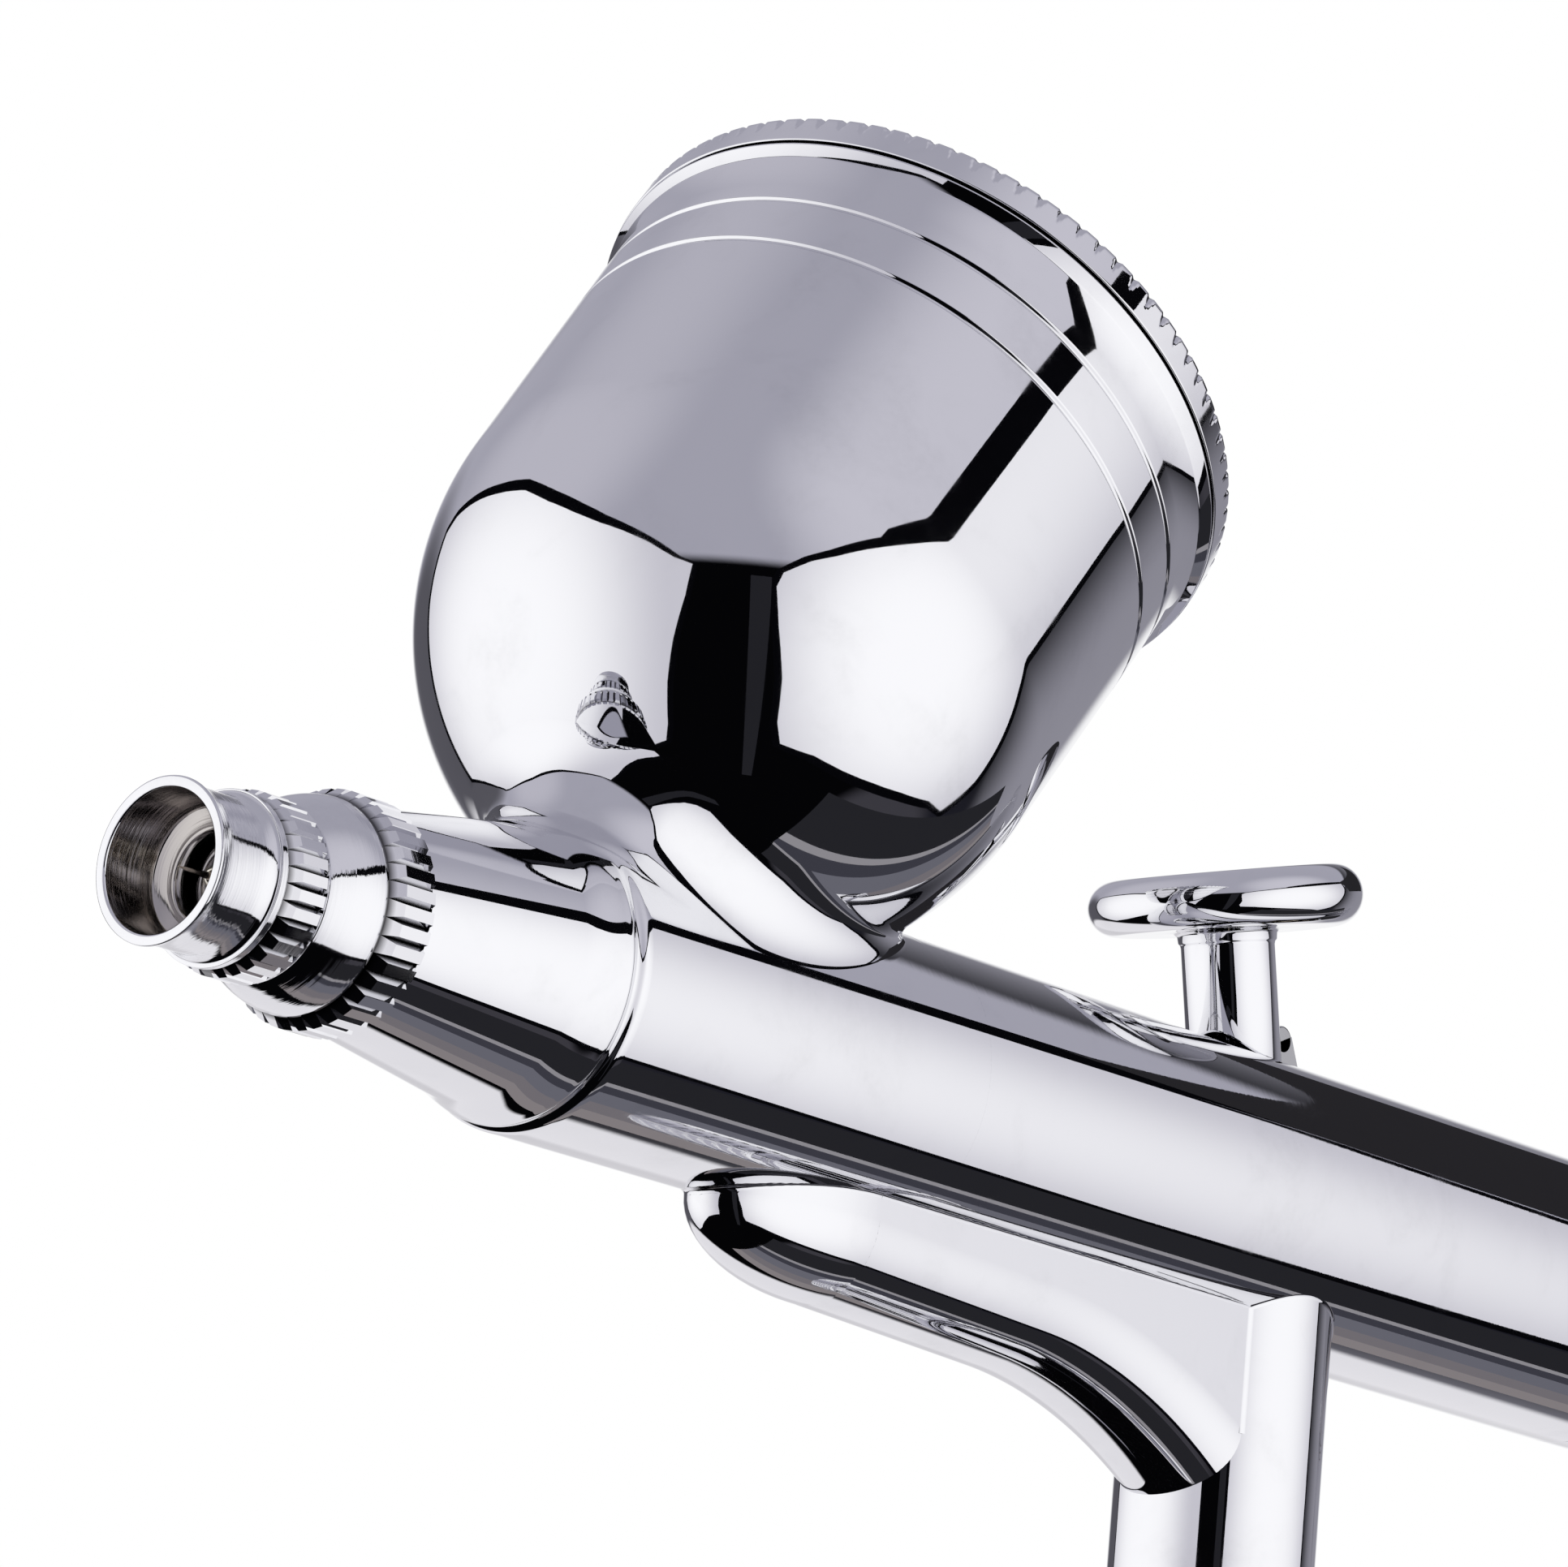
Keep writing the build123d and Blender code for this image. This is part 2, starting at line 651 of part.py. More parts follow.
def trigger():
    """Finger pad on a leaning stem; the upright foot has a slot for the needle and stands on a ball."""
    high = trigger_height + trigger_pad_thickness / 2
    low = trigger_height - trigger_pad_thickness / 2
    edge_r = trigger_pad_r - trigger_pad_thickness / 2
    dish_r = (edge_r ** 2 + trigger_pad_dish ** 2) / (2 * trigger_pad_dish)
    outline = [
        Line((0, low), (edge_r, low)),
        ThreePointArc((edge_r, low), (trigger_pad_r, trigger_height), (edge_r, high)),
        Polyline((edge_r, high), (0, high), (0, low)),
    ]
    pad = revolve(Plane.XZ * make_face(outline), Axis.Z)
    pad -= Pos(0, 0, high - trigger_pad_dish + dish_r) * Sphere(dish_r)
    collar = rod(trigger_stem_r + trigger_collar_step, low - trigger_collar_height, low + edge_bevel)
    stem = rod(trigger_stem_r, -trigger_stem_root, trigger_height)
    leaning = Plane(origin=(0, 0, trigger_bend_z), x_dir=(0, 1, 0), z_dir=lean_dir)
    half = trigger_blade_half_width
    neck = trigger_neck_share * half
    blade = make_face(Polyline(
        (-neck, trigger_pivot_z + trigger_neck_low), (neck, trigger_pivot_z + trigger_neck_low),
        (half, trigger_pivot_z + trigger_neck_high), (half, trigger_bend_z), (-half, trigger_bend_z),
        (-half, trigger_pivot_z + trigger_neck_high), close=True,
    ))
    foot = extrude(Plane.XZ * blade, trigger_blade_half_thickness, both=True)
    foot += Pos(0, 0, trigger_pivot_z) * Sphere(trigger_ball_r)
    slot_height = trigger_slot_high - trigger_slot_low
    slot_z = trigger_pivot_z + (trigger_slot_low + trigger_slot_high) / 2
    slot = Pos(0, 0, slot_z) * Box(6 * trigger_stem_r, 2 * needle_slot_half_width, slot_height)
    return leaning * (pad + collar + stem) + foot - slot


def back_lever():
    """Bent, forked lever behind the trigger: it passes the pull on to the needle guide."""
    knee = Vector(lever_pivot_x, 0, lever_knee_z)
    slope = Plane(origin=knee, x_dir=(0, 1, 0), z_dir=lever_tip - knee)
    reach = (lever_tip - knee).length
    shoulder = (lever_shoulder_z - lever_knee_z) / (lever_tip.Z - lever_knee_z) * reach
    shin_length = lever_knee_z - lever_pivot_z
    shin = Box(lever_thickness, 2 * lever_half_width, shin_length)
    thigh = Box(2 * lever_half_width, lever_thickness, shoulder)
    tongue = Box(2 * lever_tongue_half_width, lever_thickness, reach)
    across = Rot(90, 0, 0)
    lever = Pos(lever_pivot_x, 0, lever_pivot_z + shin_length / 2) * shin
    lever += Pos(lever_pivot_x, 0, lever_pivot_z) * across * Cylinder(lever_foot_r, 2 * lever_half_width)
    lever += Pos(knee) * across * Cylinder(lever_thickness / 2, 2 * lever_half_width)
    lever += slope * Pos(0, 0, shoulder / 2) * thigh
    lever += slope * Pos(0, 0, reach / 2) * tongue
    lever += Pos(lever_tip) * across * Cylinder(lever_thickness / 2, 2 * lever_tongue_half_width)
    fork_depth = lever_fork_z - lever_pivot_z + 2 * lever_foot_r
    fork = Box(8 * lever_thickness, 2 * needle_slot_half_width, fork_depth)
    return lever - Pos(lever_pivot_x, 0, lever_fork_z - fork_depth / 2) * fork


def needle_guide():
    """Sliding tube that carries the needle: nose, spring flange, and a slit collet for the chuck nut."""
    flange_end = guide_flange_x + guide_flange_thickness
    guide = turned_x([
        (0, guide_nose_x), (guide_nose_r - edge_bevel, guide_nose_x),
        (guide_nose_r, guide_nose_x + edge_bevel), (guide_nose_r, guide_flange_x),
        (guide_flange_r, guide_flange_x), (guide_flange_r, flange_end),
        (guide_tube_r, flange_end), (guide_tube_r, guide_tail_x - collet_taper_length),
        (guide_nose_r, guide_tail_x), (0, guide_tail_x),
    ])
    guide -= rod_x(needle_r + running_gap, guide_nose_x, guide_tail_x)
    slit = Pos(guide_tail_x - collet_length / 2, 0, 0) * Box(collet_length, 3 * guide_tube_r, collet_slit)
    return guide - slit - Rot(90, 0, 0) * slit


def needle_spring():
    front = guide_flange_x + guide_flange_thickness
    return Plane.YZ * coil(needle_spring_r, needle_spring_wire_r, needle_spring_turns, front, spring_seat_x)


def spring_case():
    """Threaded cup that holds the needle spring; turning its knob sets the spring's tension."""
    front = body_tail_x + spigot_length + seat_gap
    rear = front + spring_knob_length
    case = rod_x(barrel_bore_r - thread_gap, spring_case_front_x, front + knurl_sink)
    knob = knurled(spring_knob_r, spring_knob_r - spring_knob_tooth, spring_knob_teeth, front, rear,
                   tooth_rear_bevel, edge_bevel, edge_bevel)
    case += Plane.YZ * knob
    case -= rod_x(spring_case_bore_r, spring_case_front_x, spring_seat_x)
    return case - rod_x(guide_tube_r + running_gap, spring_seat_x, rear)


def chuck_nut():
    end = chuck_nut_x + chuck_nut_length
    neck_r = chuck_nut_r - chuck_nut_step
    grip = chuck_nut_x + chuck_grip_share * chuck_nut_length
    nut = turned_x([
        (0, chuck_nut_x), (neck_r, chuck_nut_x), (neck_r, end - chuck_nut_step),
        (neck_r - chuck_nut_step, end), (0, end),
    ])
    nut += Plane.YZ * knurled(chuck_nut_r, chuck_nut_r - chuck_nut_tooth, chuck_nut_teeth, grip,
                              end - chuck_nut_step - edge_bevel, edge_bevel, edge_bevel, edge_bevel)
    nut -= rod_x(guide_tube_r + thread_gap, chuck_nut_x, guide_tail_x + 2 * thread_gap)
    return nut - rod_x(needle_r + running_gap, chuck_nut_x, end)


def handle():
    """Long tapered tail: three grooves, a smooth waist, and an end wall threaded for the preset screw."""
    front = body_tail_x + seat_gap
    bore = spigot_r + thread_gap
    knob_room = body_tail_x + spigot_length + spring_knob_length + handle_room
    grooves = []
    for x in handle_groove_x:
        grooves += [(barrel_r, x - handle_groove_half_width), (barrel_r - handle_groove_depth, x),
                    (barrel_r, x + handle_groove_half_width)]
    thread_r = preset_r + running_gap
    tunnel_r = preset_r + handle_tunnel_gap
    nut_room_r = chuck_nut_r + handle_room
    wall_x = handle_end_x - handle_end_wall
    taper = (barrel_r, handle_taper_x)
    taper_mid = ((barrel_r + handle_waist_r) / 2, (handle_taper_x + handle_waist_x) / 2)
    waist = (handle_waist_r, handle_waist_x)
    waist_mid = (handle_waist_r + handle_end_swell, (handle_waist_x + handle_end_x) / 2)
    brim = (handle_end_r, handle_end_x - handle_end_bevel)
    outline = [
        Polyline((bore, front), (barrel_r, front), *grooves, taper),
        Spline(taper, taper_mid, waist, tangents=[(0, 1), (0, 1)]),
        ThreePointArc(waist, waist_mid, brim),
        Polyline(brim, (handle_end_r - handle_end_bevel, handle_end_x), (thread_r, handle_end_x),
                 (thread_r, wall_x), (tunnel_r, wall_x), (tunnel_r, handle_tunnel_x),
                 (nut_room_r, handle_nut_room_x), (nut_room_r, knob_room + handle_room),
                 (bore, knob_room), (bore, front)),
    ]
    body = Plane.YZ * revolve(Plane.XZ * make_face(outline), Axis.Z)
    groove_r = thread_r + 2 * preset_ring_wire_r + running_gap
    return body - rod_x(groove_r, preset_ring_x - preset_ring_wire_r, preset_ring_x + preset_ring_wire_r)


def preset_ring():
    middle_r = preset_r + running_gap + preset_ring_wire_r
    return Plane.YZ * Pos(0, 0, preset_ring_x) * seal_ring(middle_r, preset_ring_wire_r)


def preset_screw():
    """Stop screw in the end of the handle: its tip limits how far the needle can be drawn back."""
    tip_x = needle_tail_x + preset_tip_gap
    knob_end = preset_knob_x + preset_knob_length
    screw = turned_x([
        (0, tip_x), (preset_r - preset_tip_bevel, tip_x), (preset_r, tip_x + preset_tip_bevel),
        (preset_r, preset_knob_x), (0, preset_knob_x),
    ])
    knob = knurled(preset_knob_r, preset_knob_r - preset_tooth, preset_teeth, preset_knob_x, knob_end,
                   edge_bevel, edge_bevel, edge_bevel)
    return screw + Plane.YZ * knob


def valve_plunger():
    """Piston under the trigger: a cupped head for the trigger's ball, and the stem that opens the valve."""
    bottom = casing_seat_z + plunger_tip_gap
    plunger = rod(plunger_head_r, plunger_top_z - plunger_head_depth, plunger_top_z)
    plunger += rod(plunger_stem_r, bottom, plunger_top_z - plunger_head_depth)
    return plunger - Pos(0, 0, trigger_pivot_z) * Sphere(trigger_ball_r + running_gap)


def plunger_seal():
    ring = seal_ring(plunger_stem_r + running_gap + seal_wire_r, seal_wire_r)
    return Pos(0, 0, seal_z - seal_length / 2) * ring


def seal_retainer():
    ring = rod(plunger_head_r, chamber_z, retainer_z)
    ring -= rod(plunger_stem_r + 3 * running_gap, chamber_z, retainer_z)
    return ring - Pos(0, 0, chamber_z) * Box(3 * plunger_head_r, driver_slot_width, driver_slot_depth)


def valve_casing():
    """Casing that screws into the guide, with the valve's seat inside and the hose thread below."""
    top = collar_top_z - seat_gap
    bottom = collar_top_z - casing_collar_length
    mouth_z = inlet_top_z - inlet_thread_length
    core_r = casing_collar_root_r - knurl_sink
    gasket_floor = top - gasket_thickness
    casing = turned([
        (0, casing_top_z), (casing_thread_r, casing_top_z), (casing_thread_r, top), (core_r, top),
        (core_r, bottom), (casing_neck_r, bottom), (casing_neck_r, inlet_top_z),
        (inlet_thread_r, inlet_top_z), (inlet_thread_r, mouth_z), (0, mouth_z),
    ])
    casing += knurled(casing_collar_r, casing_collar_root_r, casing_collar_teeth, bottom, top,
                      edge_bevel, edge_bevel, edge_bevel)
    casing -= rod(gasket_r + running_gap, gasket_floor, top) - rod(casing_thread_r, gasket_floor, top)
    casing -= rod(casing_throat_r, casing_seat_z, casing_top_z)
    return casing - rod(casing_bore_r, mouth_z, casing_seat_z)


def casing_gasket():
    low = collar_top_z - seat_gap - gasket_thickness
    high = collar_top_z
    return rod(gasket_r, low, high) - rod(casing_thread_r + running_gap, low, high)


def valve_poppet():
    top = casing_seat_z - 2 * poppet_ring_wire_r - seat_gap
    poppet = rod(poppet_hub_r, top, casing_seat_z + poppet_hub_rise)
    poppet += rod(poppet_r, top - poppet_thickness, top)
    return poppet + rod(poppet_stem_r, top - poppet_thickness - poppet_stem_length, top - poppet_thickness)


def poppet_seal():
    height = casing_seat_z - seat_gap - poppet_ring_wire_r
    middle_r = poppet_hub_r + running_gap + poppet_ring_wire_r
    return Pos(0, 0, height) * seal_ring(middle_r, poppet_ring_wire_r)


def valve_spring():
    top = casing_seat_z - 2 * poppet_ring_wire_r - seat_gap - poppet_thickness
    return coil(valve_spring_r, valve_spring_wire_r, valve_spring_turns, valve_screw_z, top)


def valve_screw():
    """Screw that carries the valve spring, with three holes for the air and a slot for a driver."""
    low = valve_screw_z - valve_screw_length
    screw = rod(casing_bore_r - thread_gap, low, valve_screw_z)
    screw -= rod(poppet_stem_r + 2 * running_gap, low, valve_screw_z)
    for hole in PolarLocations(valve_screw_hole_centre, 3):
        screw -= hole * rod(valve_screw_hole_r, low, valve_screw_z)
    return screw - Pos(0, 0, low) * Box(3 * casing_bore_r, driver_slot_width, valve_screw_slot_depth)


pieces = {
    "needle_cap": needle_cap,
    "nozzle_cap": nozzle_cap,
    "fluid_nozzle": fluid_nozzle,
    "nozzle_seal": nozzle_seal,
    "gun_body": gun_body,
    "paint_cup": paint_cup,
    "cup_lid": cup_lid,
    "needle": needle,
    "needle_packing": needle_packing,
    "packing_screw": packing_screw,
    "trigger": trigger,
    "back_lever": back_lever,
    "needle_guide": needle_guide,
    "needle_spring": needle_spring,
    "spring_case": spring_case,
    "chuck_nut": chuck_nut,
    "handle": handle,
    "preset_ring": preset_ring,
    "preset_screw": preset_screw,
    "valve_plunger": valve_plunger,
    "plunger_seal": plunger_seal,
    "seal_retainer": seal_retainer,
    "valve_casing": valve_casing,
    "casing_gasket": casing_gasket,
    "valve_poppet": valve_poppet,
    "poppet_seal": poppet_seal,
    "valve_spring": valve_spring,
    "valve_screw": valve_screw,
}

os.makedirs("parts", exist_ok=True)
for name, make in pieces.items():
    export_step(place(make()), f"parts/{name}.step")
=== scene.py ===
from math import acos, asin, atan2, cos, degrees, pi, radians, sin, sqrt, tan

import bpy
import numpy as np
from mathutils import Matrix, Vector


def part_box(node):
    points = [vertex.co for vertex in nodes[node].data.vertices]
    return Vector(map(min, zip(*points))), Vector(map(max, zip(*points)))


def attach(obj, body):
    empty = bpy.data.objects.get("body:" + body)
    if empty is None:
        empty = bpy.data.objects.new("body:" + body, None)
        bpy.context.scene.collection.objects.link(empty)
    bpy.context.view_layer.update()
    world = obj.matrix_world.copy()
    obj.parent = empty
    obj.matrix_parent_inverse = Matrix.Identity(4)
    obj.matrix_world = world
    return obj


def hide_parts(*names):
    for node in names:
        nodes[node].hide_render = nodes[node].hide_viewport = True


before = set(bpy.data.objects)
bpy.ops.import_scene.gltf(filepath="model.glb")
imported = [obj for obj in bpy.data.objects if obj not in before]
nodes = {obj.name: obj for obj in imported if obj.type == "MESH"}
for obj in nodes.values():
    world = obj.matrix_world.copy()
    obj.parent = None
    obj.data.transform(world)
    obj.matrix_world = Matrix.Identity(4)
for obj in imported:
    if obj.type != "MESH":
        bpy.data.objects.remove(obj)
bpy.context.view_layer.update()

# ---- Gun body ----
# One brass casting turned to a long nose cone and a straight barrel, with the cup's concave blend on top, a
# flat web below and the valve guide, polished and chrome plated all over. Sizes are in millimetres from
# where the needle's axis crosses the valve's axis.
mm = 0.001
needle_low, needle_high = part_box("needle")
axis_z = (needle_low.z + needle_high.z) / 2
cone_front_x, cone_front_r, cone_slope, cone_end_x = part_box("gun_body")[0].x / mm, 4.2, 0.1487, -24.0
barrel_tail_x, barrel_r, bore_r = 24.0, 6.0, 4.2
crease_x, crease_depth, crease_half = -44.7, 0.15, 0.42
cup_foot_x, cup_tilt, cup_bottom_s, cup_r = -45.5, radians(36.9), 6.71, 12.79
cup_ball_s = cup_bottom_s + cup_r
cup_axis = np.array([sin(cup_tilt), 0, cos(cup_tilt)])
cup_centre = np.array([cup_foot_x, 0, 0]) + cup_axis * cup_ball_s
blend_ball_r, blend_least_r, blend_full_x, blend_rear_x = 3.1, 0.02, -38.0, -25.42


def unit(v):
    v = np.asarray(v, float)
    return v / np.maximum(np.linalg.norm(v, axis=-1, keepdims=True), 1e-12)


def spots(*coordinates):
    """Points from their coordinates; a single number goes with all of them."""
    return np.stack(np.broadcast_arrays(*coordinates), -1)


def grid(points, normals, closed=False):
    """Surface over rows of points; a row that has shrunk to one point is met by triangles."""
    points, normals = np.asarray(points, float), np.asarray(normals, float)
    rows, columns = points.shape[:2]
    faces = []
    pole = [np.ptp(row, axis=0).max() < 1e-7 for row in points]
    for i in range(rows - 1):
        if pole[i] and pole[i + 1]:
            continue
        for j in range(columns if closed else columns - 1):
            k = (j + 1) % columns
            a, b, c, d = i * columns + j, (i + 1) * columns + j, (i + 1) * columns + k, i * columns + k
            faces.append((i * columns, b, c) if pole[i] else (a, (i + 1) * columns, d) if pole[i + 1] else (a, b, c, d))
    return points.reshape(-1, 3), unit(normals.reshape(-1, 3)), faces


def softened(outline, radius, steps=4):
    """Outline of (radius, height) corners with each sharp corner turned to a small arc."""
    p = [np.array(q, float) for q in outline]
    result = [p[0]]
    for before, corner, after in zip(p, p[1:], p[2:]):
        a, b = corner - before, after - corner
        la, lb = np.linalg.norm(a), np.linalg.norm(b)
        turn = acos(max(-1, min(1, float(a @ b) / (la * lb))))
        reach = min(radius * tan(turn / 2), 0.45 * la, 0.45 * lb) if turn < 3.1 else 0
        if turn < radians(8) or reach < 1e-4:
            result.append(corner)
            continue
        start, end = corner - a / la * reach, corner + b / lb * reach
        for t in np.linspace(0, 1, steps + 1):
            result.append((1 - t) ** 2 * start + 2 * t * (1 - t) * corner + t ** 2 * end)
    result.append(p[-1])
    return result


def about(origin, axis, side):
    """Frame of a turned piece: where its height starts, its axis, and the direction of angle zero."""
    origin, axis, side = np.array(origin, float), unit(axis), unit(side)
    return origin, axis, side, np.cross(axis, side)


along_needle = about((0, 0, 0), (1, 0, 0), (0, 0, 1))
along_valve = about((0, 0, 0), (0, 0, 1), (1, 0, 0))
along_cup = about((cup_foot_x, 0, 0), cup_axis, (0, 1, 0))


def turned(outline, place, segments=160, shaped=None):
    """Surface turned from (radius, height) points; the metal lies to the left of their direction.

    shaped takes heights and angles and gives how far to push the surface out and along the axis.
    """
    p = np.array(outline, float)
    d = np.diff(p, axis=0)
    side = spots(d[:, 1], -d[:, 0])
    lean = np.zeros_like(p)
    lean[:-1] += side
    lean[1:] += side
    lean = unit(lean)
    origin, axis, zero, quarter = place
    angle = np.arange(segments) * 2 * pi / segments
    out = np.cos(angle)[:, None] * zero + np.sin(angle)[:, None] * quarter
    points = origin + p[:, 1, None, None] * axis + p[:, 0, None, None] * out[None]
    normals = lean[:, 1, None, None] * axis + lean[:, 0, None, None] * out[None]
    on_axis = p[:, 0] < 1e-9
    normals[on_axis] = np.sign(lean[on_axis, 1])[:, None, None] * axis
    if shaped is not None:
        push, rise = shaped(p[:, 0, None], p[:, 1, None], angle[None])
        points = points + push[..., None] * out[None] + rise[..., None] * axis
        down = np.gradient(points, axis=0)
        round_ = (np.roll(points, -1, axis=1) - np.roll(points, 1, axis=1)) / 2
        n = np.cross(down, round_)
        n = np.where(np.linalg.norm(n, axis=-1, keepdims=True) < 1e-9, normals, n)
        normals = unit(n) * np.where(np.sum(n * normals, axis=-1, keepdims=True) < 0, -1, 1)
    return grid(points, normals, closed=True)


def placed(name, data):
    """A new object in the scene with that mesh or camera."""
    thing = bpy.data.objects.new(name, data)
    bpy.context.scene.collection.objects.link(thing)
    return thing


def made(name, surfaces, body, material, replaced=()):
    """One mesh piece from several surfaces, standing in the gun's frame and riding on its body."""
    points, normals, faces, start = [], [], [], 0
    for p, n, f in surfaces:
        points.append(p)
        normals.append(n)
        faces += [tuple(start + i for i in face) for face in f]
        start += len(p)
    points, normals = np.concatenate(points), np.concatenate(normals)
    used = sorted(set(i for face in faces for i in face))
    new = {old: k for k, old in enumerate(used)}
    ordered = []
    for face in faces:
        a, b, c = points[face[0]], points[face[1]], points[face[2]]
        outward = normals[list(face)].sum(0) @ np.cross(b - a, c - a)
        face = tuple(new[i] for i in face)
        ordered.append(face if outward >= 0 else face[::-1])
    points, normals = points[used], normals[used]
    mesh = bpy.data.meshes.new(name)
    mesh.from_pydata((points * mm + np.array([0, 0, axis_z])).tolist(), [], ordered)
    mesh.polygons.foreach_set("use_smooth", [True] * len(mesh.polygons))
    mesh.normals_split_custom_set_from_vertices(normals.tolist())
    piece = placed(name, mesh)
    mesh.materials.append(material)
    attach(piece, body)
    if replaced:
        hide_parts(*replaced)
    return piece


def side_line(stations, x):
    """Radius at x of a smooth line through (x, radius, slope) stations."""
    for (x0, r0, s0), (x1, r1, s1) in zip(stations, stations[1:]):
        if x <= x1:
            w = x1 - x0
            t = (x - x0) / w
            return ((2 * t ** 3 - 3 * t ** 2 + 1) * r0 + (t ** 3 - 2 * t ** 2 + t) * w * s0
                    + (3 * t ** 2 - 2 * t ** 3) * r1 + (t ** 3 - t ** 2) * w * s1)
    return stations[-1][1]


# The cone's side is straight to a rounded shoulder and a fine turned crease. Under the cup's blend the
# polishing has worn both away, and the cone runs smoothly into the barrel.
worn_side = [(cone_front_x, cone_front_r, cone_slope), (-47.4, 5.226, cone_slope), (-43.9, barrel_r, 0.0)]
turned_side = [(cone_front_x, cone_front_r, cone_slope), (-47.0, 5.285, cone_slope), (-46.1, 5.49, 0.3),
               (-45.3, 5.73, 0.26), (crease_x, 5.9, 0.24), (-44.1, barrel_r, 0.0)]


def worn_r(x):
    return side_line(worn_side, x)


def skin_r(x, fade):
    """Radius of the cone and barrel, from fully worn at fade 0 to crisp at fade 1."""
    dip = crease_depth * (0.5 + 0.5 * cos(pi * min(1, abs(x - crease_x) / crease_half))) ** 1.5
    return worn_r(x) + (side_line(turned_side, x) - dip - worn_r(x)) * fade


def blend_station(x):
    """Ball that rolls in the corner of barrel and cup: its radius, its centre and the points it touches."""
    faded = max(0, min(1, (x - blend_full_x) / (blend_rear_x - blend_full_x)))
    ball = blend_least_r + (blend_ball_r - blend_least_r) * (1 - faded)
    slope = atan2(worn_r(x + 0.3) - worn_r(x - 0.3), 0.6)
    touch_x = x + ball * sin(slope)
    r = worn_r(touch_x)
    reach = r + ball * cos(slope)
    gap = x - cup_centre[0]
    cosine = (reach ** 2 + cup_centre[2] ** 2 + gap ** 2 - (cup_r + ball) ** 2) / (2 * reach * cup_centre[2])
    angle = acos(max(-1, min(1, cosine)))
    centre = np.array([x, reach * sin(angle), reach * cos(angle)])
    on_body = np.array([touch_x, r * sin(angle), r * cos(angle)])
    on_cup = cup_centre + cup_r * unit(centre - cup_centre)
    return ball, centre, on_body, on_cup, angle, cosine


# The blend begins where the ball first touches both the cone and the cup, found by halving.
low, high = -54.0, -46.0
for _ in range(60):
    middle = (low + high) / 2
    low, high = (middle, high) if blend_station(middle)[5] > 1 else (low, middle)
share = np.sin(np.linspace(0, pi / 2, 73)) ** 2
stations = [blend_station(high + (blend_rear_x - high) * s) for s in share]

strip, strip_lean = [], []
for sign, run in ((-1, stations[:0:-1]), (1, stations)):
    for ball, centre, on_body, on_cup, _, _ in run:
        flip = np.array([1, sign, 1])
        a, b = unit(on_body - centre), unit(on_cup - centre)
        spread = acos(max(-1, min(1, float(a @ b))))
        t = np.linspace(0, 1, 17)[:, None]
        arc = (np.sin((1 - t) * spread) * a + np.sin(t * spread) * b) / max(sin(spread), 1e-9)
        strip.append((centre + arc * ball) * flip)
        strip_lean.append(-arc * flip)
blend_surface = grid(strip, strip_lean)

around = np.linspace(0, 1, 145)
rows = [(x, 0.0) for x in np.linspace(cone_front_x, stations[0][2][0], 12)[:-1]]
rows += [(s[2][0], s[4]) for s in stations]
rows += [(cone_end_x - 1, 0.0), (cone_end_x, 0.0)]
known = np.array(rows)
for x in np.linspace(-47.1, -43.8, 67):
    if np.abs(known[:, 0] - x).min() > 0.01:
        rows.append((x, float(np.interp(x, known[:, 0], known[:, 1]))))
rows.sort()
skin, skin_lean = [], []
for x, edge in rows:
    a = edge + around * (2 * pi - 2 * edge)
    fade = np.ones_like(a)
    if edge > 0:
        fade = np.clip((np.minimum(a - edge, 2 * pi - edge - a) - 0.06) / 0.5, 0, 1)
    fade = fade * fade * (3 - 2 * fade)
    r = skin_r(x, fade)
    steep = (skin_r(x + 0.02, fade) - skin_r(x - 0.02, fade)) / 0.04
    skin.append(spots(x, r * np.sin(a), r * np.cos(a)))
    skin_lean.append(spots(-steep, np.sin(a), np.cos(a)))
front_surface = grid(skin, skin_lean)
front_face = turned([(0, cone_front_x), (cone_front_r, cone_front_x)], along_needle)

# The barrel behind the cup: a tube with a round ended slot on top, where the trigger and its lever swing.
slot_front_x, slot_rear_x, slot_half, slot_edge = -3.6, 10.2, 2.1, 0.12


def slot_width(x, grow):
    """Half width of the trigger slot at a place along the barrel, its edge grown by so much."""
    half = slot_half + grow
    if x < slot_front_x + slot_half:
        return sqrt(max(0, half ** 2 - (slot_front_x + slot_half - x) ** 2))
    if x > slot_rear_x - slot_half:
        return sqrt(max(0, half ** 2 - (x - slot_rear_x + slot_half) ** 2))
    return half


def slotted_tube(radius, grow, start, end, inward, well=0.0):
    """Tube surface that stops at the slot's edge on top, and round the valve's well below."""
    front, rear = slot_front_x - grow, slot_rear_x + grow
    bend = [front + (slot_half + grow) * (1 - cos(t)) for t in np.linspace(0, pi / 2, 14)]
    xs = list(np.linspace(start, front, 5)[:-1]) + bend + [front + rear - x for x in reversed(bend)]
    xs += list(np.linspace(rear, end, 5)[1:]) + list(well * np.cos(np.linspace(0, pi, 25)))
    halves = []
    for side in (-1, 1):
        points, lean = [], []
        for x in sorted(set(xs)):
            inside = front - 1e-9 <= x <= rear + 1e-9
            edge = asin(slot_width(x, grow) / radius) if inside else 0.0
            below = asin(sqrt(max(0, well ** 2 - x ** 2)) / radius)
            a = edge + around * (pi - below - edge)
            points.append(spots(x, side * radius * np.sin(a), radius * np.cos(a)))
            lean.append(spots(0.0, side * np.sin(a), np.cos(a)) * (-1 if inward else 1))
        halves.append(grid(points, lean))
    return halves


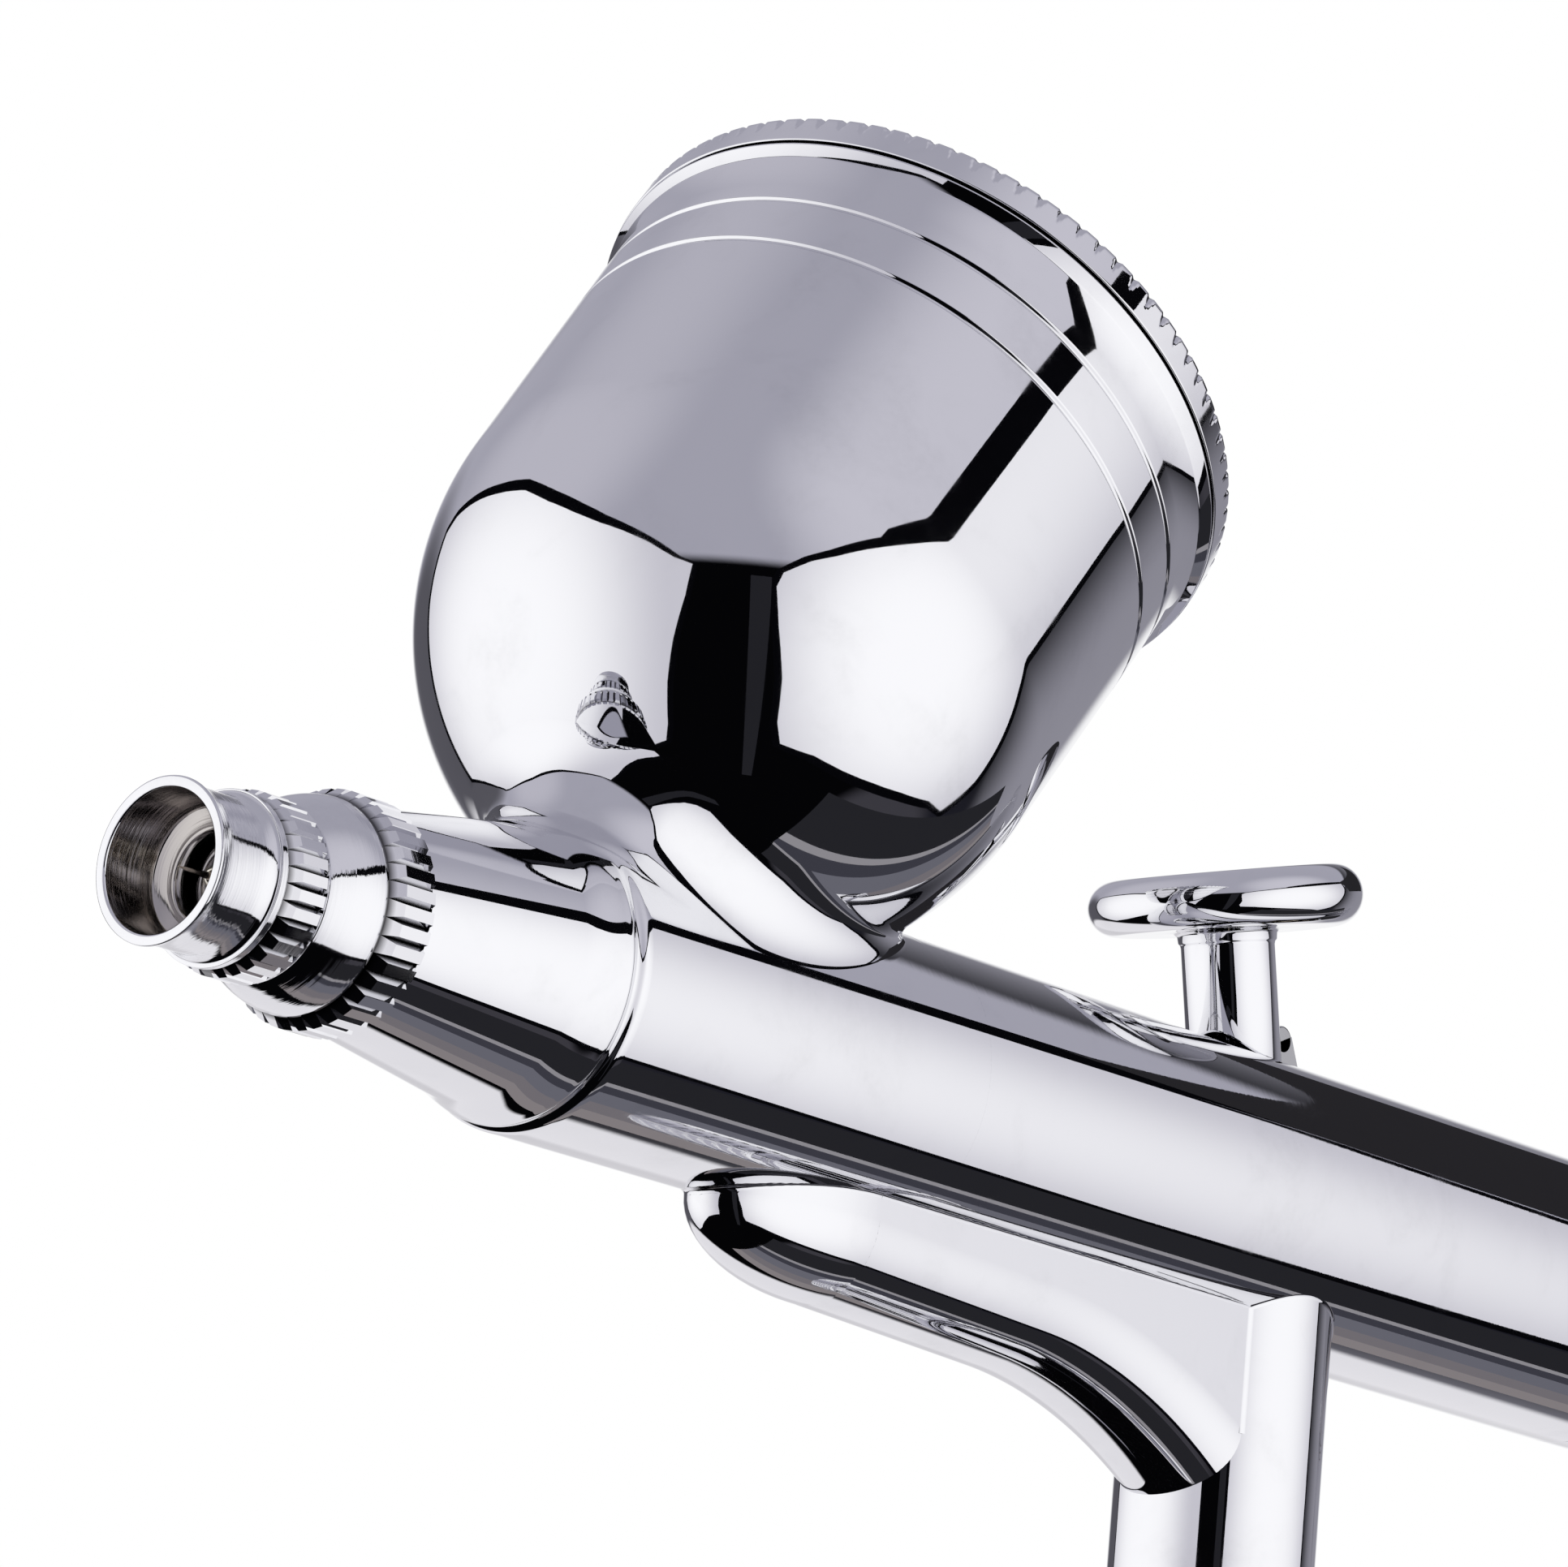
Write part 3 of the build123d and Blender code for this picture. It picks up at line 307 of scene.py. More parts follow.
def slot_wall():
    """Wall of the slot from its softly broken upper edge down to the bore."""
    half_turn = np.linspace(pi / 2, 3 * pi / 2, 29)
    rim = [(slot_front_x + slot_half, cos(t), sin(t)) for t in half_turn]
    rim += [(slot_rear_x - slot_half, -cos(t), -sin(t)) for t in half_turn]
    rings, lean = [], []
    for grow, r, up in ((slot_edge, barrel_r, 0.8), (slot_edge / 3, barrel_r - slot_edge / 2, 0.6),
                        (0, barrel_r - 1.2 * slot_edge, 0.05), (0, bore_r - 0.01, 0)):
        ring, ring_lean = [], []
        for cx, ex, ey in rim:
            x, y = cx + ex * (slot_half + grow), ey * (slot_half + grow)
            ring.append((x, y, sqrt(r ** 2 - y ** 2)))
            ring_lean.append((-ex, -ey, up))
        rings.append(ring)
        lean.append(ring_lean)
    return grid(rings, lean, closed=True)


spigot_r, spigot_end_x, chamber_x, needle_way_r = 5.1, barrel_tail_x + 7, -6.5, 0.7
well_r, well_rim_r, well_shelf_z, well_floor_z = 2.45, 3.4, -4.3, -8.0
guide_r, guide_bore_r, guide_top_z, guide_low_z = 4.24, 3.3, -4.21, -24.8


def well_wall():
    """Short wall round the mouth of the valve's well, between the bore's floor and the well's shelf."""
    t = np.arange(64) * 2 * pi / 64
    x, y = well_rim_r * np.cos(t), well_rim_r * np.sin(t)
    inward = -spots(np.cos(t), np.sin(t), 0.0)
    rings = [spots(x, y, z) for z in (-np.sqrt(bore_r ** 2 - y ** 2), well_shelf_z)]
    return grid(rings, [inward, inward], closed=True)


well_line = [(well_rim_r, well_shelf_z), (well_r, well_shelf_z), (well_r, well_floor_z),
             (guide_bore_r, well_floor_z), (guide_bore_r, guide_low_z)]
spigot_line = [(barrel_r, barrel_tail_x), (spigot_r, barrel_tail_x), (spigot_r, spigot_end_x), (bore_r, spigot_end_x)]
barrel_surfaces = [
    *slotted_tube(barrel_r, slot_edge, cone_end_x, barrel_tail_x, False, well_r),
    *slotted_tube(bore_r, 0, chamber_x, spigot_end_x, True, well_rim_r),
    well_wall(), turned(well_line, along_valve), slot_wall(), turned(spigot_line, along_needle),
    turned([(needle_way_r, chamber_x), (bore_r, chamber_x)], along_needle),
]

# The web: flat sides, a round lower edge that bends down into the guide, and a long round nose.
web_half, web_nose_length, web_nose_x, web_top_z = 3.2, 7.0, -33.57, -4.4
web_front_z, web_bend_x, web_bend_z, web_bend_r = -9.23, -15.5, -9.73, 26.2
web_start = np.array([web_nose_x + web_nose_length, web_front_z + web_half])
web_bend = np.array([web_bend_x, web_bend_z + web_half])
bend_r = web_bend_r + web_half
fall = atan2(web_start[1] - web_bend[1], web_bend[0] - web_start[0])
hub = web_bend - bend_r * np.array([sin(fall), cos(fall)])
web_line = [web_start + (web_bend - web_start) * t for t in np.linspace(0, 1, 10)[:-1]]
web_line += [hub + bend_r * np.array([sin(t), cos(t)]) for t in np.linspace(fall, asin(-hub[0] / bend_r), 24)]
web_line = np.array(web_line)
web_run = unit(np.gradient(web_line, axis=0))
web_surfaces, belly, belly_lean = [], [], []
a = np.linspace(-pi / 2, pi / 2, 41)
for p, d in zip(web_line, web_run):
    down = np.array([d[1], -d[0]])
    belly.append(spots(p[0] + web_half * np.cos(a) * down[0], web_half * np.sin(a),
                       p[1] + web_half * np.cos(a) * down[1]))
    belly_lean.append(spots(np.cos(a) * down[0], np.sin(a), np.cos(a) * down[1]))
web_surfaces.append(grid(belly, belly_lean))
for side in (-1, 1):
    flank = [[(p[0], side * web_half, p[1]), (p[0], side * web_half, web_top_z)] for p in web_line]
    web_surfaces.append(grid(flank, np.tile([0, side, 0], (len(web_line), 2, 1))))
nose, nose_lean = [], []
a = np.linspace(pi / 2, 3 * pi / 2, 61)
for t in np.linspace(0, pi / 2, 17):
    ring = spots(web_nose_length * np.cos(a) * sin(t), web_half * np.sin(a) * sin(t), -web_half * cos(t))
    nose.append(np.array([web_start[0], 0, web_start[1]]) + ring)
    nose_lean.append(ring / np.array([web_nose_length ** 2, web_half ** 2, web_half ** 2]))
for z in (web_start[1], web_top_z):
    nose.append(spots(ring[:, 0] + web_start[0], ring[:, 1], z))
    nose_lean.append(nose_lean[-1] * np.array([1, 1, 0]))
web_surfaces.append(grid(nose, nose_lean))

# The valve guide: a straight round post under the barrel, its lower edge just broken.
guide_line = [(guide_bore_r, guide_low_z), (guide_r, guide_low_z), (guide_r, guide_top_z)]
guide_surface = turned(softened(guide_line, 0.12), along_valve)


def brazed(plan, lean, size, wobble):
    """Thin concave line of solder where an upright wall over a plan curve meets the barrel."""
    run = np.arange(len(plan))
    size = size * (1 + wobble * (np.sin(2.9 * run) + np.sin(5.3 * run + 1) + np.sin(9.7 * run + 2)))[:, None]
    middle = np.pad(plan + lean * size, ((0, 0), (0, 1)))
    middle[:, 2] = -np.sqrt((barrel_r + size[:, 0]) ** 2 - middle[:, 1] ** 2)
    wall = np.pad(-lean, ((0, 0), (0, 1)))
    tube = -middle * np.array([0, 1, 1]) / (barrel_r + size)
    points, normals = [], []
    for t in np.linspace(0, 1, 6):
        way = unit(wall * (1 - t) + tube * t)
        points.append(middle + way * size)
        normals.append(-way)
    return grid(points, normals)


seams = []
seam_size, guide_seam_size = 0.2, 0.25
corner_x = -sqrt(guide_r ** 2 - web_half ** 2)
for side in (-1, 1):
    flat_x = np.linspace(web_start[0], corner_x, 90)
    plan = spots(flat_x, side * web_half)
    seams.append(brazed(plan, np.tile([0.0, side], (len(plan), 1)), seam_size, 0.12))
    a = np.linspace(pi, pi / 2, 40)
    plan = spots(web_start[0] + web_nose_length * np.cos(a), side * web_half * np.sin(a))
    nose_out = unit(spots(np.cos(a) / web_nose_length, side * np.sin(a) / web_half))
    seams.append(brazed(plan, nose_out, seam_size, 0.06))
a = np.linspace(-1, 1, 90) * (pi - acos(-corner_x / guide_r))
plan = guide_r * spots(np.cos(a), np.sin(a))
seams.append(brazed(plan, plan / guide_r, guide_seam_size, 0.03))

# A small hollow corner runs down both sides where the web's flats meet the guide.
corner_size, corner_top_z = 0.45, -4.6
corner_y = web_half + corner_size
middle_x = -sqrt((guide_r + corner_size) ** 2 - corner_y ** 2)
corner_low_z = hub[1] + sqrt(bend_r ** 2 - (middle_x - hub[0]) ** 2)
for side in (-1, 1):
    to_wall, to_guide = np.array([0, -side, 0]), unit([-middle_x, -side * corner_y, 0])
    corner, corner_lean = [], []
    for t in np.linspace(0, 1, 7):
        way = unit(to_wall * (1 - t) + to_guide * t)
        spot = np.array([middle_x, side * corner_y, 0]) + way * corner_size
        corner.append([spot + np.array([0, 0, z]) for z in (corner_low_z - 0.3, corner_top_z)])
        corner_lean.append([-way, -way])
    seams.append(grid(corner, corner_lean))


def fill(tree, part, inputs):
    """Give each input of a node its value, or join it to another node's output."""
    for name, value in inputs.items():
        if isinstance(value, bpy.types.NodeSocket):
            tree.links.new(value, part.inputs[name])
        else:
            part.inputs[name].default_value = value


def node(tree, kind, inputs={}, **settings):
    """A new node of that kind with its settings and inputs."""
    part = tree.nodes.new(kind)
    for name, value in settings.items():
        setattr(part, name, value)
    fill(tree, part, inputs)
    return part


def number(tree, operation, a, b):
    return node(tree, "ShaderNodeMath", {0: a, 1: b}, operation=operation).outputs[0]


def vector(tree, operation, a, b=(0, 0, 0)):
    part = node(tree, "ShaderNodeVectorMath", {0: a, "Scale" if operation == "SCALE" else 1: b}, operation=operation)
    return part.outputs["Value" if operation in ("DOT_PRODUCT", "LENGTH") else "Vector"]


def noise(tree, inputs):
    return node(tree, "ShaderNodeTexNoise", inputs).outputs["Fac"]


def ranged(tree, inputs, kind="LINEAR"):
    return node(tree, "ShaderNodeMapRange", inputs, interpolation_type=kind).outputs["Result"]


def mixed(tree, share, one, two):
    """Colour between one and two, each a colour or another node's output."""
    one, two = (c if isinstance(c, bpy.types.NodeSocket) else (*c, 1) for c in (one, two))
    return node(tree, "ShaderNodeMix", {0: share, 6: one, 7: two}, data_type="RGBA").outputs[2]


def effect(name, inputs, outputs):
    """Shader node group whose inputs have these first values, and what its input node gives."""
    group = bpy.data.node_groups.new(name, "ShaderNodeTree")
    for label, value in inputs.items():
        kind = "NodeSocketVector" if isinstance(value, tuple) else "NodeSocketFloat"
        group.interface.new_socket(label, in_out="INPUT", socket_type=kind).default_value = value
    for label in outputs:
        group.interface.new_socket(label, in_out="OUTPUT", socket_type="NodeSocketFloat")
    return group, node(group, "NodeGroupInput").outputs, node(group, "ShaderNodeTexCoord").outputs["Object"]


# Turning marks: fine rings that a lathe tool and the buff leave across a turned piece, stronger in places.
turning, given, spot = effect("turning marks", {"Axis": (1, 0, 0), "Rings per mm": 6.0, "Wander": 0.3}, ["Height"])
per_metre = number(turning, "MULTIPLY", given["Rings per mm"], 1 / mm)
along = number(turning, "MULTIPLY", vector(turning, "DOT_PRODUCT", spot, given["Axis"]), per_metre)
spread = vector(turning, "SCALE", given["Axis"], along)
drift = vector(turning, "SCALE", spot, number(turning, "MULTIPLY", given["Wander"], 1 / mm))
rings = noise(turning, {"Vector": vector(turning, "ADD", spread, drift), "Scale": 1, "Detail": 3, "Roughness": 0.6})
node(turning, "NodeGroupOutput", {"Height": rings})

# Handling: faint smears and a few duller patches where fingers and the polishing cloth have been.
handling, given, spot = effect("handling smears", {"Clean": 0.03, "Smeared": 0.1, "Size mm": 4.0},
                               ["Roughness", "Mask"])
per_metre = number(handling, "DIVIDE", 1 / mm, given["Size mm"])
patches = noise(handling, {"Vector": spot, "Scale": per_metre, "Detail": 4, "Distortion": 0.6})
patches = ranged(handling, {"Value": patches, "From Min": 0.48, "From Max": 0.72}, "SMOOTHSTEP")
fine = noise(handling, {"Vector": spot, "Scale": 2600, "Detail": 2})
smear = number(handling, "MULTIPLY", patches, fine)
rough = ranged(handling, {"Value": smear, "To Min": given["Clean"], "To Max": given["Smeared"]})
node(handling, "NodeGroupOutput", {"Roughness": rough, "Mask": smear})


def new_material(name):
    """An empty material with its nodes and its main shader."""
    material = bpy.data.materials.new(name)
    material.use_nodes = True
    return material, material.node_tree, material.node_tree.nodes["Principled BSDF"]


def metal(name, colour=(0.83, 0.83, 0.85), axis=(1, 0, 0), rings=6.0, depth=0.0, wander=0.3, clean=0.02, smeared=0.09,
          wave=0.0, dull=0.92, groove_shade=None):
    """Polished metal, chrome unless told otherwise, with turning marks across an axis, smears and a slight wave.

    The last argument gives two radii about the needle: painted shade, standing for the shade deep in a knurl's grooves,
    is darkest at the inner one and gone at the outer one.
    """
    material, tree, shader = new_material(name)
    spot = node(tree, "ShaderNodeTexCoord").outputs["Object"]
    marks = node(tree, "ShaderNodeGroup", {"Axis": axis, "Rings per mm": rings, "Wander": wander}, node_tree=turning)
    smears = node(tree, "ShaderNodeGroup", {"Clean": clean, "Smeared": smeared}, node_tree=handling)
    shade = mixed(tree, smears.outputs["Mask"], colour, [c * dull for c in colour])
    # Painted shade: towards the root of a knurl's grooves the colour darkens nearly to black, standing in for the shade
    # between the teeth.
    if groove_shade:
        across = vector(tree, "MULTIPLY", vector(tree, "SUBTRACT", spot, (0, 0, axis_z)), (0, 1, 1))
        groove_shade_share = ranged(tree, {"Value": vector(tree, "LENGTH", across), "From Min": groove_shade[0] * mm,
                             "From Max": groove_shade[1] * mm, "To Min": 1, "To Max": 0})
        shade = mixed(tree, groove_shade_share, shade, (0.04, 0.038, 0.04))
    uneven = noise(tree, {"Vector": spot, "Scale": 260, "Detail": 2, "Roughness": 0.4})
    low_bump = node(tree, "ShaderNodeBump", {"Distance": wave * mm, "Strength": 1, "Height": uneven})
    bump = node(tree, "ShaderNodeBump", {"Distance": depth * mm, "Strength": 1, "Height": marks.outputs["Height"],
                                         "Normal": low_bump.outputs["Normal"]})
    fill(tree, shader, {"Metallic": 1, "Roughness": smears.outputs["Roughness"], "Base Color": shade,
                        "Normal": bump.outputs["Normal"]})
    return material


body_chrome = metal("body_chrome", depth=0.0005, rings=2.5, wander=0.5, wave=0.0016)
made("gun_body_shell",
     [blend_surface, front_surface, front_face, *barrel_surfaces, *web_surfaces, guide_surface, *seams],
     "gun", body_chrome, ["gun_body"])

# ---- Paint cup and lid ----
# Spun and turned cup: a ball bottom, a slightly flaring wall with two fine grooves and a flared rim. It is
# soldered into the blend; inside, a slot in the bottom lets the paint down to the needle.
cup_wall, cup_taper = 0.8, 0.0143
rim_s, rim_r = 33.5, cup_r + 0.66
groove_s, groove_depth, groove_half = (28.05, 30.5), 0.12, 0.19


def cup_side(s):
    return cup_r + cup_taper * (s - cup_ball_s)


def groove(radius, h, depth, half, steps):
    """Outline of a shallow rounded groove round a turned piece."""
    return [(radius - depth * (0.5 + 0.5 * cos(pi * t)), h + half * t) for t in np.linspace(-1, 1, steps)]


outline = [(cup_r * sin(a), cup_ball_s - cup_r * cos(a)) for a in np.linspace(0, pi / 2, 73)]
outline += [(cup_side(s), s) for s in np.linspace(cup_ball_s, groove_s[0] - groove_half, 8)[1:]]
for s0 in groove_s:
    outline += groove(cup_side(s0), s0, groove_depth, groove_half, 13)
flare_s, bead_s = groove_s[1] + 0.8, rim_s - 0.5
outline += [(cup_side(flare_s) + (rim_r - 0.31 - cup_side(flare_s)) * t ** 2.2, flare_s + (bead_s - flare_s) * t)
            for t in np.linspace(0, 1, 16)]
outline += [(rim_r - 0.02, rim_s - 0.12), (rim_r, rim_s - 0.08)]
mouth_r = cup_side(rim_s) - cup_wall
outline += [(rim_r - 0.03, rim_s - 0.03), (rim_r - 0.1, rim_s), (mouth_r + 0.15, rim_s),
            (mouth_r + 0.04, rim_s - 0.04), (mouth_r, rim_s - 0.15), (cup_r - cup_wall, cup_ball_s)]

# The ball bottom inside, spread from the outline of the drain slot up to the straight wall.
inner_r, drain_x, drain_half, drain_length = cup_r - cup_wall, -37.2, 1.2, 7.5
t = np.arange(96) * 2 * pi / 96
straight = (drain_length / 2 - drain_half) * np.sign(np.round(np.cos(t), 9))
slot_line = spots(drain_x + straight + drain_half * np.cos(t), drain_half * np.sin(t))
from_centre = slot_line - np.array([cup_centre[0], 0])
depth_z = -np.sqrt(inner_r ** 2 - np.sum(from_centre ** 2, axis=1))
starts = unit(spots(*from_centre.T, depth_z))
ends = np.cos(t)[:, None] * np.array([cos(cup_tilt), 0, -sin(cup_tilt)]) + np.sin(t)[:, None] * np.array([0, 1, 0])
bowl, bowl_lean = [], []
for share in np.linspace(0, 1, 25):
    spread = np.arccos(np.clip(np.sum(starts * ends, axis=1), -1, 1))[:, None]
    way = (np.sin((1 - share) * spread) * starts + np.sin(share * spread) * ends) / np.sin(spread)
    bowl.append(cup_centre + inner_r * way)
    bowl_lean.append(-way)
drain_wall = [bowl[0], spots(*slot_line.T, 0.0)]
wall_lean = -spots(np.cos(t), np.sin(t), 0.0)
trough_x, a = np.linspace(-41.2, -33.2, 3), np.linspace(-pi / 2, pi / 2, 17)
trough = [spots(x, drain_half * np.sin(a), -drain_half * np.cos(a)) for x in trough_x]
trough_lean = [spots(0.0, -np.sin(a), np.cos(a)) for _ in trough_x]
cup_chrome = metal("cup_chrome", axis=tuple(cup_axis), depth=0.0003, rings=1.6, wander=0.4, wave=0.0012)
made("paint_cup_shell", [turned(outline, along_cup, 224), grid(bowl, bowl_lean, closed=True),
                         grid(drain_wall, [wall_lean, wall_lean], closed=True), grid(trough, trough_lean)],
     "gun", cup_chrome, ["paint_cup"])

# The lid: a turned disc that lies on the rim, its top edge nicked all round to give fingers a grip.
lid_r, lid_low, lid_high, lid_break = rim_r + 0.05, rim_s + 0.13, rim_s + 1.64, 0.06
nicks, edge_round, nick_length, nick_depth, nick_share = 88, 0.3, 0.5, 0.15, 0.36
lip_r, lip_wall, lip_depth = mouth_r - 0.06, 0.6, 2.4


def nick(radius, s, angle):
    """How far a nick cuts into the lid's edge: a V at the top that narrows to nothing on its way down."""
    phase = np.abs(((angle * nicks / (2 * pi)) % 1) - 0.5) * 2
    height = np.clip((s - (lid_high - edge_round - nick_length)) / nick_length, 0, 1)
    cut = np.clip((phase - 1 + nick_share * height) / nick_share, 0, 1)
    return -nick_depth * cut, np.zeros_like(cut)


edge = [(lid_r - lid_break * (1 - cos(a)), lid_low + lid_break * (1 - sin(a))) for a in np.linspace(pi / 2, 0, 5)]
edge += [(lid_r, s) for s in np.linspace(lid_low + 0.1, lid_high - edge_round, 12)]
edge += [(lid_r - edge_round * (1 - cos(a)), lid_high - edge_round * (1 - sin(a)))
         for a in np.linspace(0, pi / 2, 9)[1:]]
top = [(edge[-1][0], lid_high), (lid_r * 0.5, lid_high), (0, lid_high)]
under = softened([(0, lid_low + lip_wall), (lip_r - lip_wall, lid_low + lip_wall),
                  (lip_r - lip_wall, lid_low - lip_depth), (lip_r, lid_low - lip_depth), (lip_r, lid_low),
                  (lid_r - lid_break, lid_low)], 0.03)
lid_chrome = metal("lid_chrome", axis=tuple(cup_axis), depth=0.0004, rings=4, wave=0.0012)
made("cup_lid_shell",
     [turned(edge, along_cup, nicks * 10, nick), turned(top, along_cup, nicks * 10), turned(under, along_cup)],
     "lid", lid_chrome, ["cup_lid"])

# ---- Needle, fluid nozzle and caps ----
# The needle is a ground steel rod with a long taper; its point stands just inside the open needle cap. Both
# caps are turned brass, plated, each with a straight knurled ring of flat topped teeth.
needle_tip_x, needle_tail_x, needle_r = needle_low.x / mm, needle_high.x / mm, 0.6
sharp_x, taper_end_x, point_r, sharp_r = needle_tip_x + 0.05, -49, 0.03, 0.15
point = [(0, needle_tip_x), (point_r, sharp_x)]
point += [(point_r + 0.12 * t, sharp_x + 1.6 * t) for t in np.linspace(0, 1, 5)[1:]]
point += [(sharp_r + 0.45 * t, needle_tip_x + 1.65 + (taper_end_x - needle_tip_x - 1.65) * t)
          for t in np.linspace(0, 1, 9)[1:]]
point += [(needle_r, needle_tail_x - 0.4), (needle_r - 0.2, needle_tail_x - 0.1), (0.3, needle_tail_x),
          (0, needle_tail_x)]
made("needle_rod", [turned(point, along_needle, 48)], "needle_carriage",
     metal("needle_steel", (0.5, 0.45, 0.4), depth=0.0006, rings=9, wander=0.2, clean=0.16, smeared=0.35), ["needle"])

nozzle_tip_x, nozzle_tail_x = (corner.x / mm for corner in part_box("fluid_nozzle"))
nozzle_hole_r, flange_front_x, flange_rear_x, shank_r = 0.18, -51.2, -50.2, 1.2
nozzle_line = [(nozzle_hole_r, nozzle_tip_x + 1.2), (nozzle_hole_r, nozzle_tip_x), (0.36, nozzle_tip_x), (0.5, -60.4),
               (1.6, -57.0), (1.6, flange_front_x), (2.1, flange_front_x), (2.1, flange_rear_x),
               (shank_r, flange_rear_x), (shank_r, nozzle_tail_x), (0.9, nozzle_tail_x)]
nozzle_brass = metal("nozzle_brass", (0.72, 0.68, 0.6), depth=0.0006, rings=8, clean=0.1, smeared=0.25)
made("fluid_nozzle_cone", [turned(softened(nozzle_line, 0.06), along_needle, 64)], "gun",
     nozzle_brass, ["fluid_nozzle"])


def flats(quads):
    """Flat faces, each given by four corners and the side that it looks to."""
    points, normals, faces = [], [], []
    for corners, guide in quads:
        n = unit(np.cross(corners[1] - corners[0], corners[2] - corners[0]))
        faces.append(tuple(range(len(points), len(points) + 4)))
        points += corners
        normals += [n if n @ guide >= 0 else -n] * 4
    return np.array(points), np.array(normals), faces


def knurl(place, tip_r, root_r, count, low, high, run_low, run_high, land=0.62, skirt=0.4):
    """Straight knurl: flat topped teeth between V grooves, each end falling to the root over a run."""
    origin, axis, zero, quarter = place

    def four(r, a, spread, start, end):
        return [origin + axis * h + r * (cos(t) * zero + sin(t) * quarter)
                for t, h in ((a - spread, start), (a + spread, start), (a + spread, end), (a - spread, end))]

    quads = []
    half = pi / count
    for i in range(count):
        a = 2 * half * i
        t0, t1, t2, t3 = top = four(tip_r, a, half * land, low + run_low, high - run_high)
        v0, v1, v2, v3 = four(root_r, a, half, low, high)
        b0, b1, b2, b3 = four(root_r - skirt, a, half, low, high)
        away = cos(a) * zero + sin(a) * quarter
        sides = [top, [t1, v1, v2, t2], [v0, t0, t3, v3], [v0, v1, t1, t0], [t3, t2, v2, v3]]
        quads += [(side, away) for side in sides] + [([b0, b1, v1, v0], -axis), ([v3, v2, b2, b3], axis)]
    return flats(quads)


cap_rim_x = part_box("needle_cap")[0].x / mm
tube_r, cap_bore_r, collar_r, collar_front_x, window_r, window_x = 2.96, 2.7, 3.3, -61.25, 1.67, -61.6
ring_front_x, ring_rear_x, ring_root_r, tooth_root_r = -60.85, -58.94, 3.07, 3.12
cap_line = [(cap_bore_r, cap_rim_x + 0.1), (cap_bore_r + 0.03, cap_rim_x + 0.03), (cap_bore_r + 0.1, cap_rim_x),
            (3.05, cap_rim_x), (3.11, cap_rim_x + 0.03), (3.13, cap_rim_x + 0.1)]
cap_line += [(tube_r + 0.17 * (1 - t) ** 4, cap_rim_x + 0.1 + 1.5 * t) for t in np.linspace(0, 1, 13)[1:]]
cap_line += [(tube_r + 0.27 * (1 - cos(t)), -62.0 + 0.75 * sin(t)) for t in np.linspace(0, pi / 2, 11)]
cap_line += softened([(collar_r - 0.07, collar_front_x), (collar_r, collar_front_x), (collar_r, -60.9),
                      (ring_root_r, -60.9), (ring_root_r, ring_rear_x), (2.6, ring_rear_x)], 0.1)
cap_chrome = metal("needle_cap_chrome", depth=0.013, rings=7, wander=0.12, clean=0.05, smeared=0.14, wave=0.001)
made("needle_cap_shell", [turned(cap_line, along_needle)], "front_guard", cap_chrome, ["needle_cap"])
tooth_finish = {"depth": 0.0008, "rings": 4, "clean": 0.03, "smeared": 0.12, "wave": 0.001}
# The teeth's material has shade painted into the grooves, dark at the tooth root and gone by 3.3 mm.
tooth_chrome = metal("tooth_chrome", groove_shade=(tooth_root_r, 3.3), **tooth_finish)
made("needle_cap_teeth", [knurl(along_needle, 3.47, tooth_root_r, 32, ring_front_x, ring_rear_x, 0.5, 0.12, 0.6)],
     "front_guard", tooth_chrome)

# The cap's bore keeps the marks of the boring tool and is only thinly plated, so it looks dark and streaky.
dish = [(2.6, -60.95), (window_r, -60.95), (window_r, -61.52), (window_r + 0.08, window_x)]
dish += [(window_r + 0.08 + (cap_bore_r - 0.2 - window_r) * t, window_x - 0.3 * t ** 1.6)
         for t in np.linspace(0, 1, 9)[1:]]
dish += [(cap_bore_r - 0.04, -62.4), (cap_bore_r, cap_rim_x + 0.1)]
bore_metal = metal("cap_bore_metal", (0.55, 0.52, 0.5), depth=0.02, rings=8, wander=0.1, clean=0.1, smeared=0.28,
                   dull=0.55)
made("needle_cap_bore", [turned(dish, along_needle)], "front_guard", bore_metal)

belly_front_x, belly_r, head_front_x, head_rear_x, head_core_r, head_root_r = -58.82, 3.4, -56.55, -54.34, 3.98, 4.1
belly_line = [(0.62, -60.91), (2.5, -60.91), (2.5, -58.9), (3.33, -58.9), (belly_r, belly_front_x)]
belly_line += [(belly_r + 0.72 * sin(pi / 2 * t) ** 0.95, belly_front_x + 2.26 * t) for t in np.linspace(0, 1, 15)[1:]]
belly_line += softened([(4.12, head_front_x), (head_core_r, -56.53), (head_core_r, head_rear_x), (3.3, head_rear_x)],
                       0.05)[1:]
nozzle_cap_chrome = metal("nozzle_cap_chrome", depth=0.01, rings=6, wander=0.12, clean=0.04, smeared=0.12, wave=0.001)
made("nozzle_cap_shell", [turned(belly_line, along_needle)], "air_cap", nozzle_cap_chrome, ["nozzle_cap"])
# The ring's teeth get the same painted groove shade, dark at the tooth root and gone by 4.3 mm.
ring_chrome = metal("ring_chrome", groove_shade=(head_root_r, 4.3), **tooth_finish)
made("nozzle_cap_teeth", [knurl(along_needle, 4.5, head_root_r, 38, head_front_x, head_rear_x, 0.55, 0.12, 0.6)],
     "air_cap", ring_chrome)

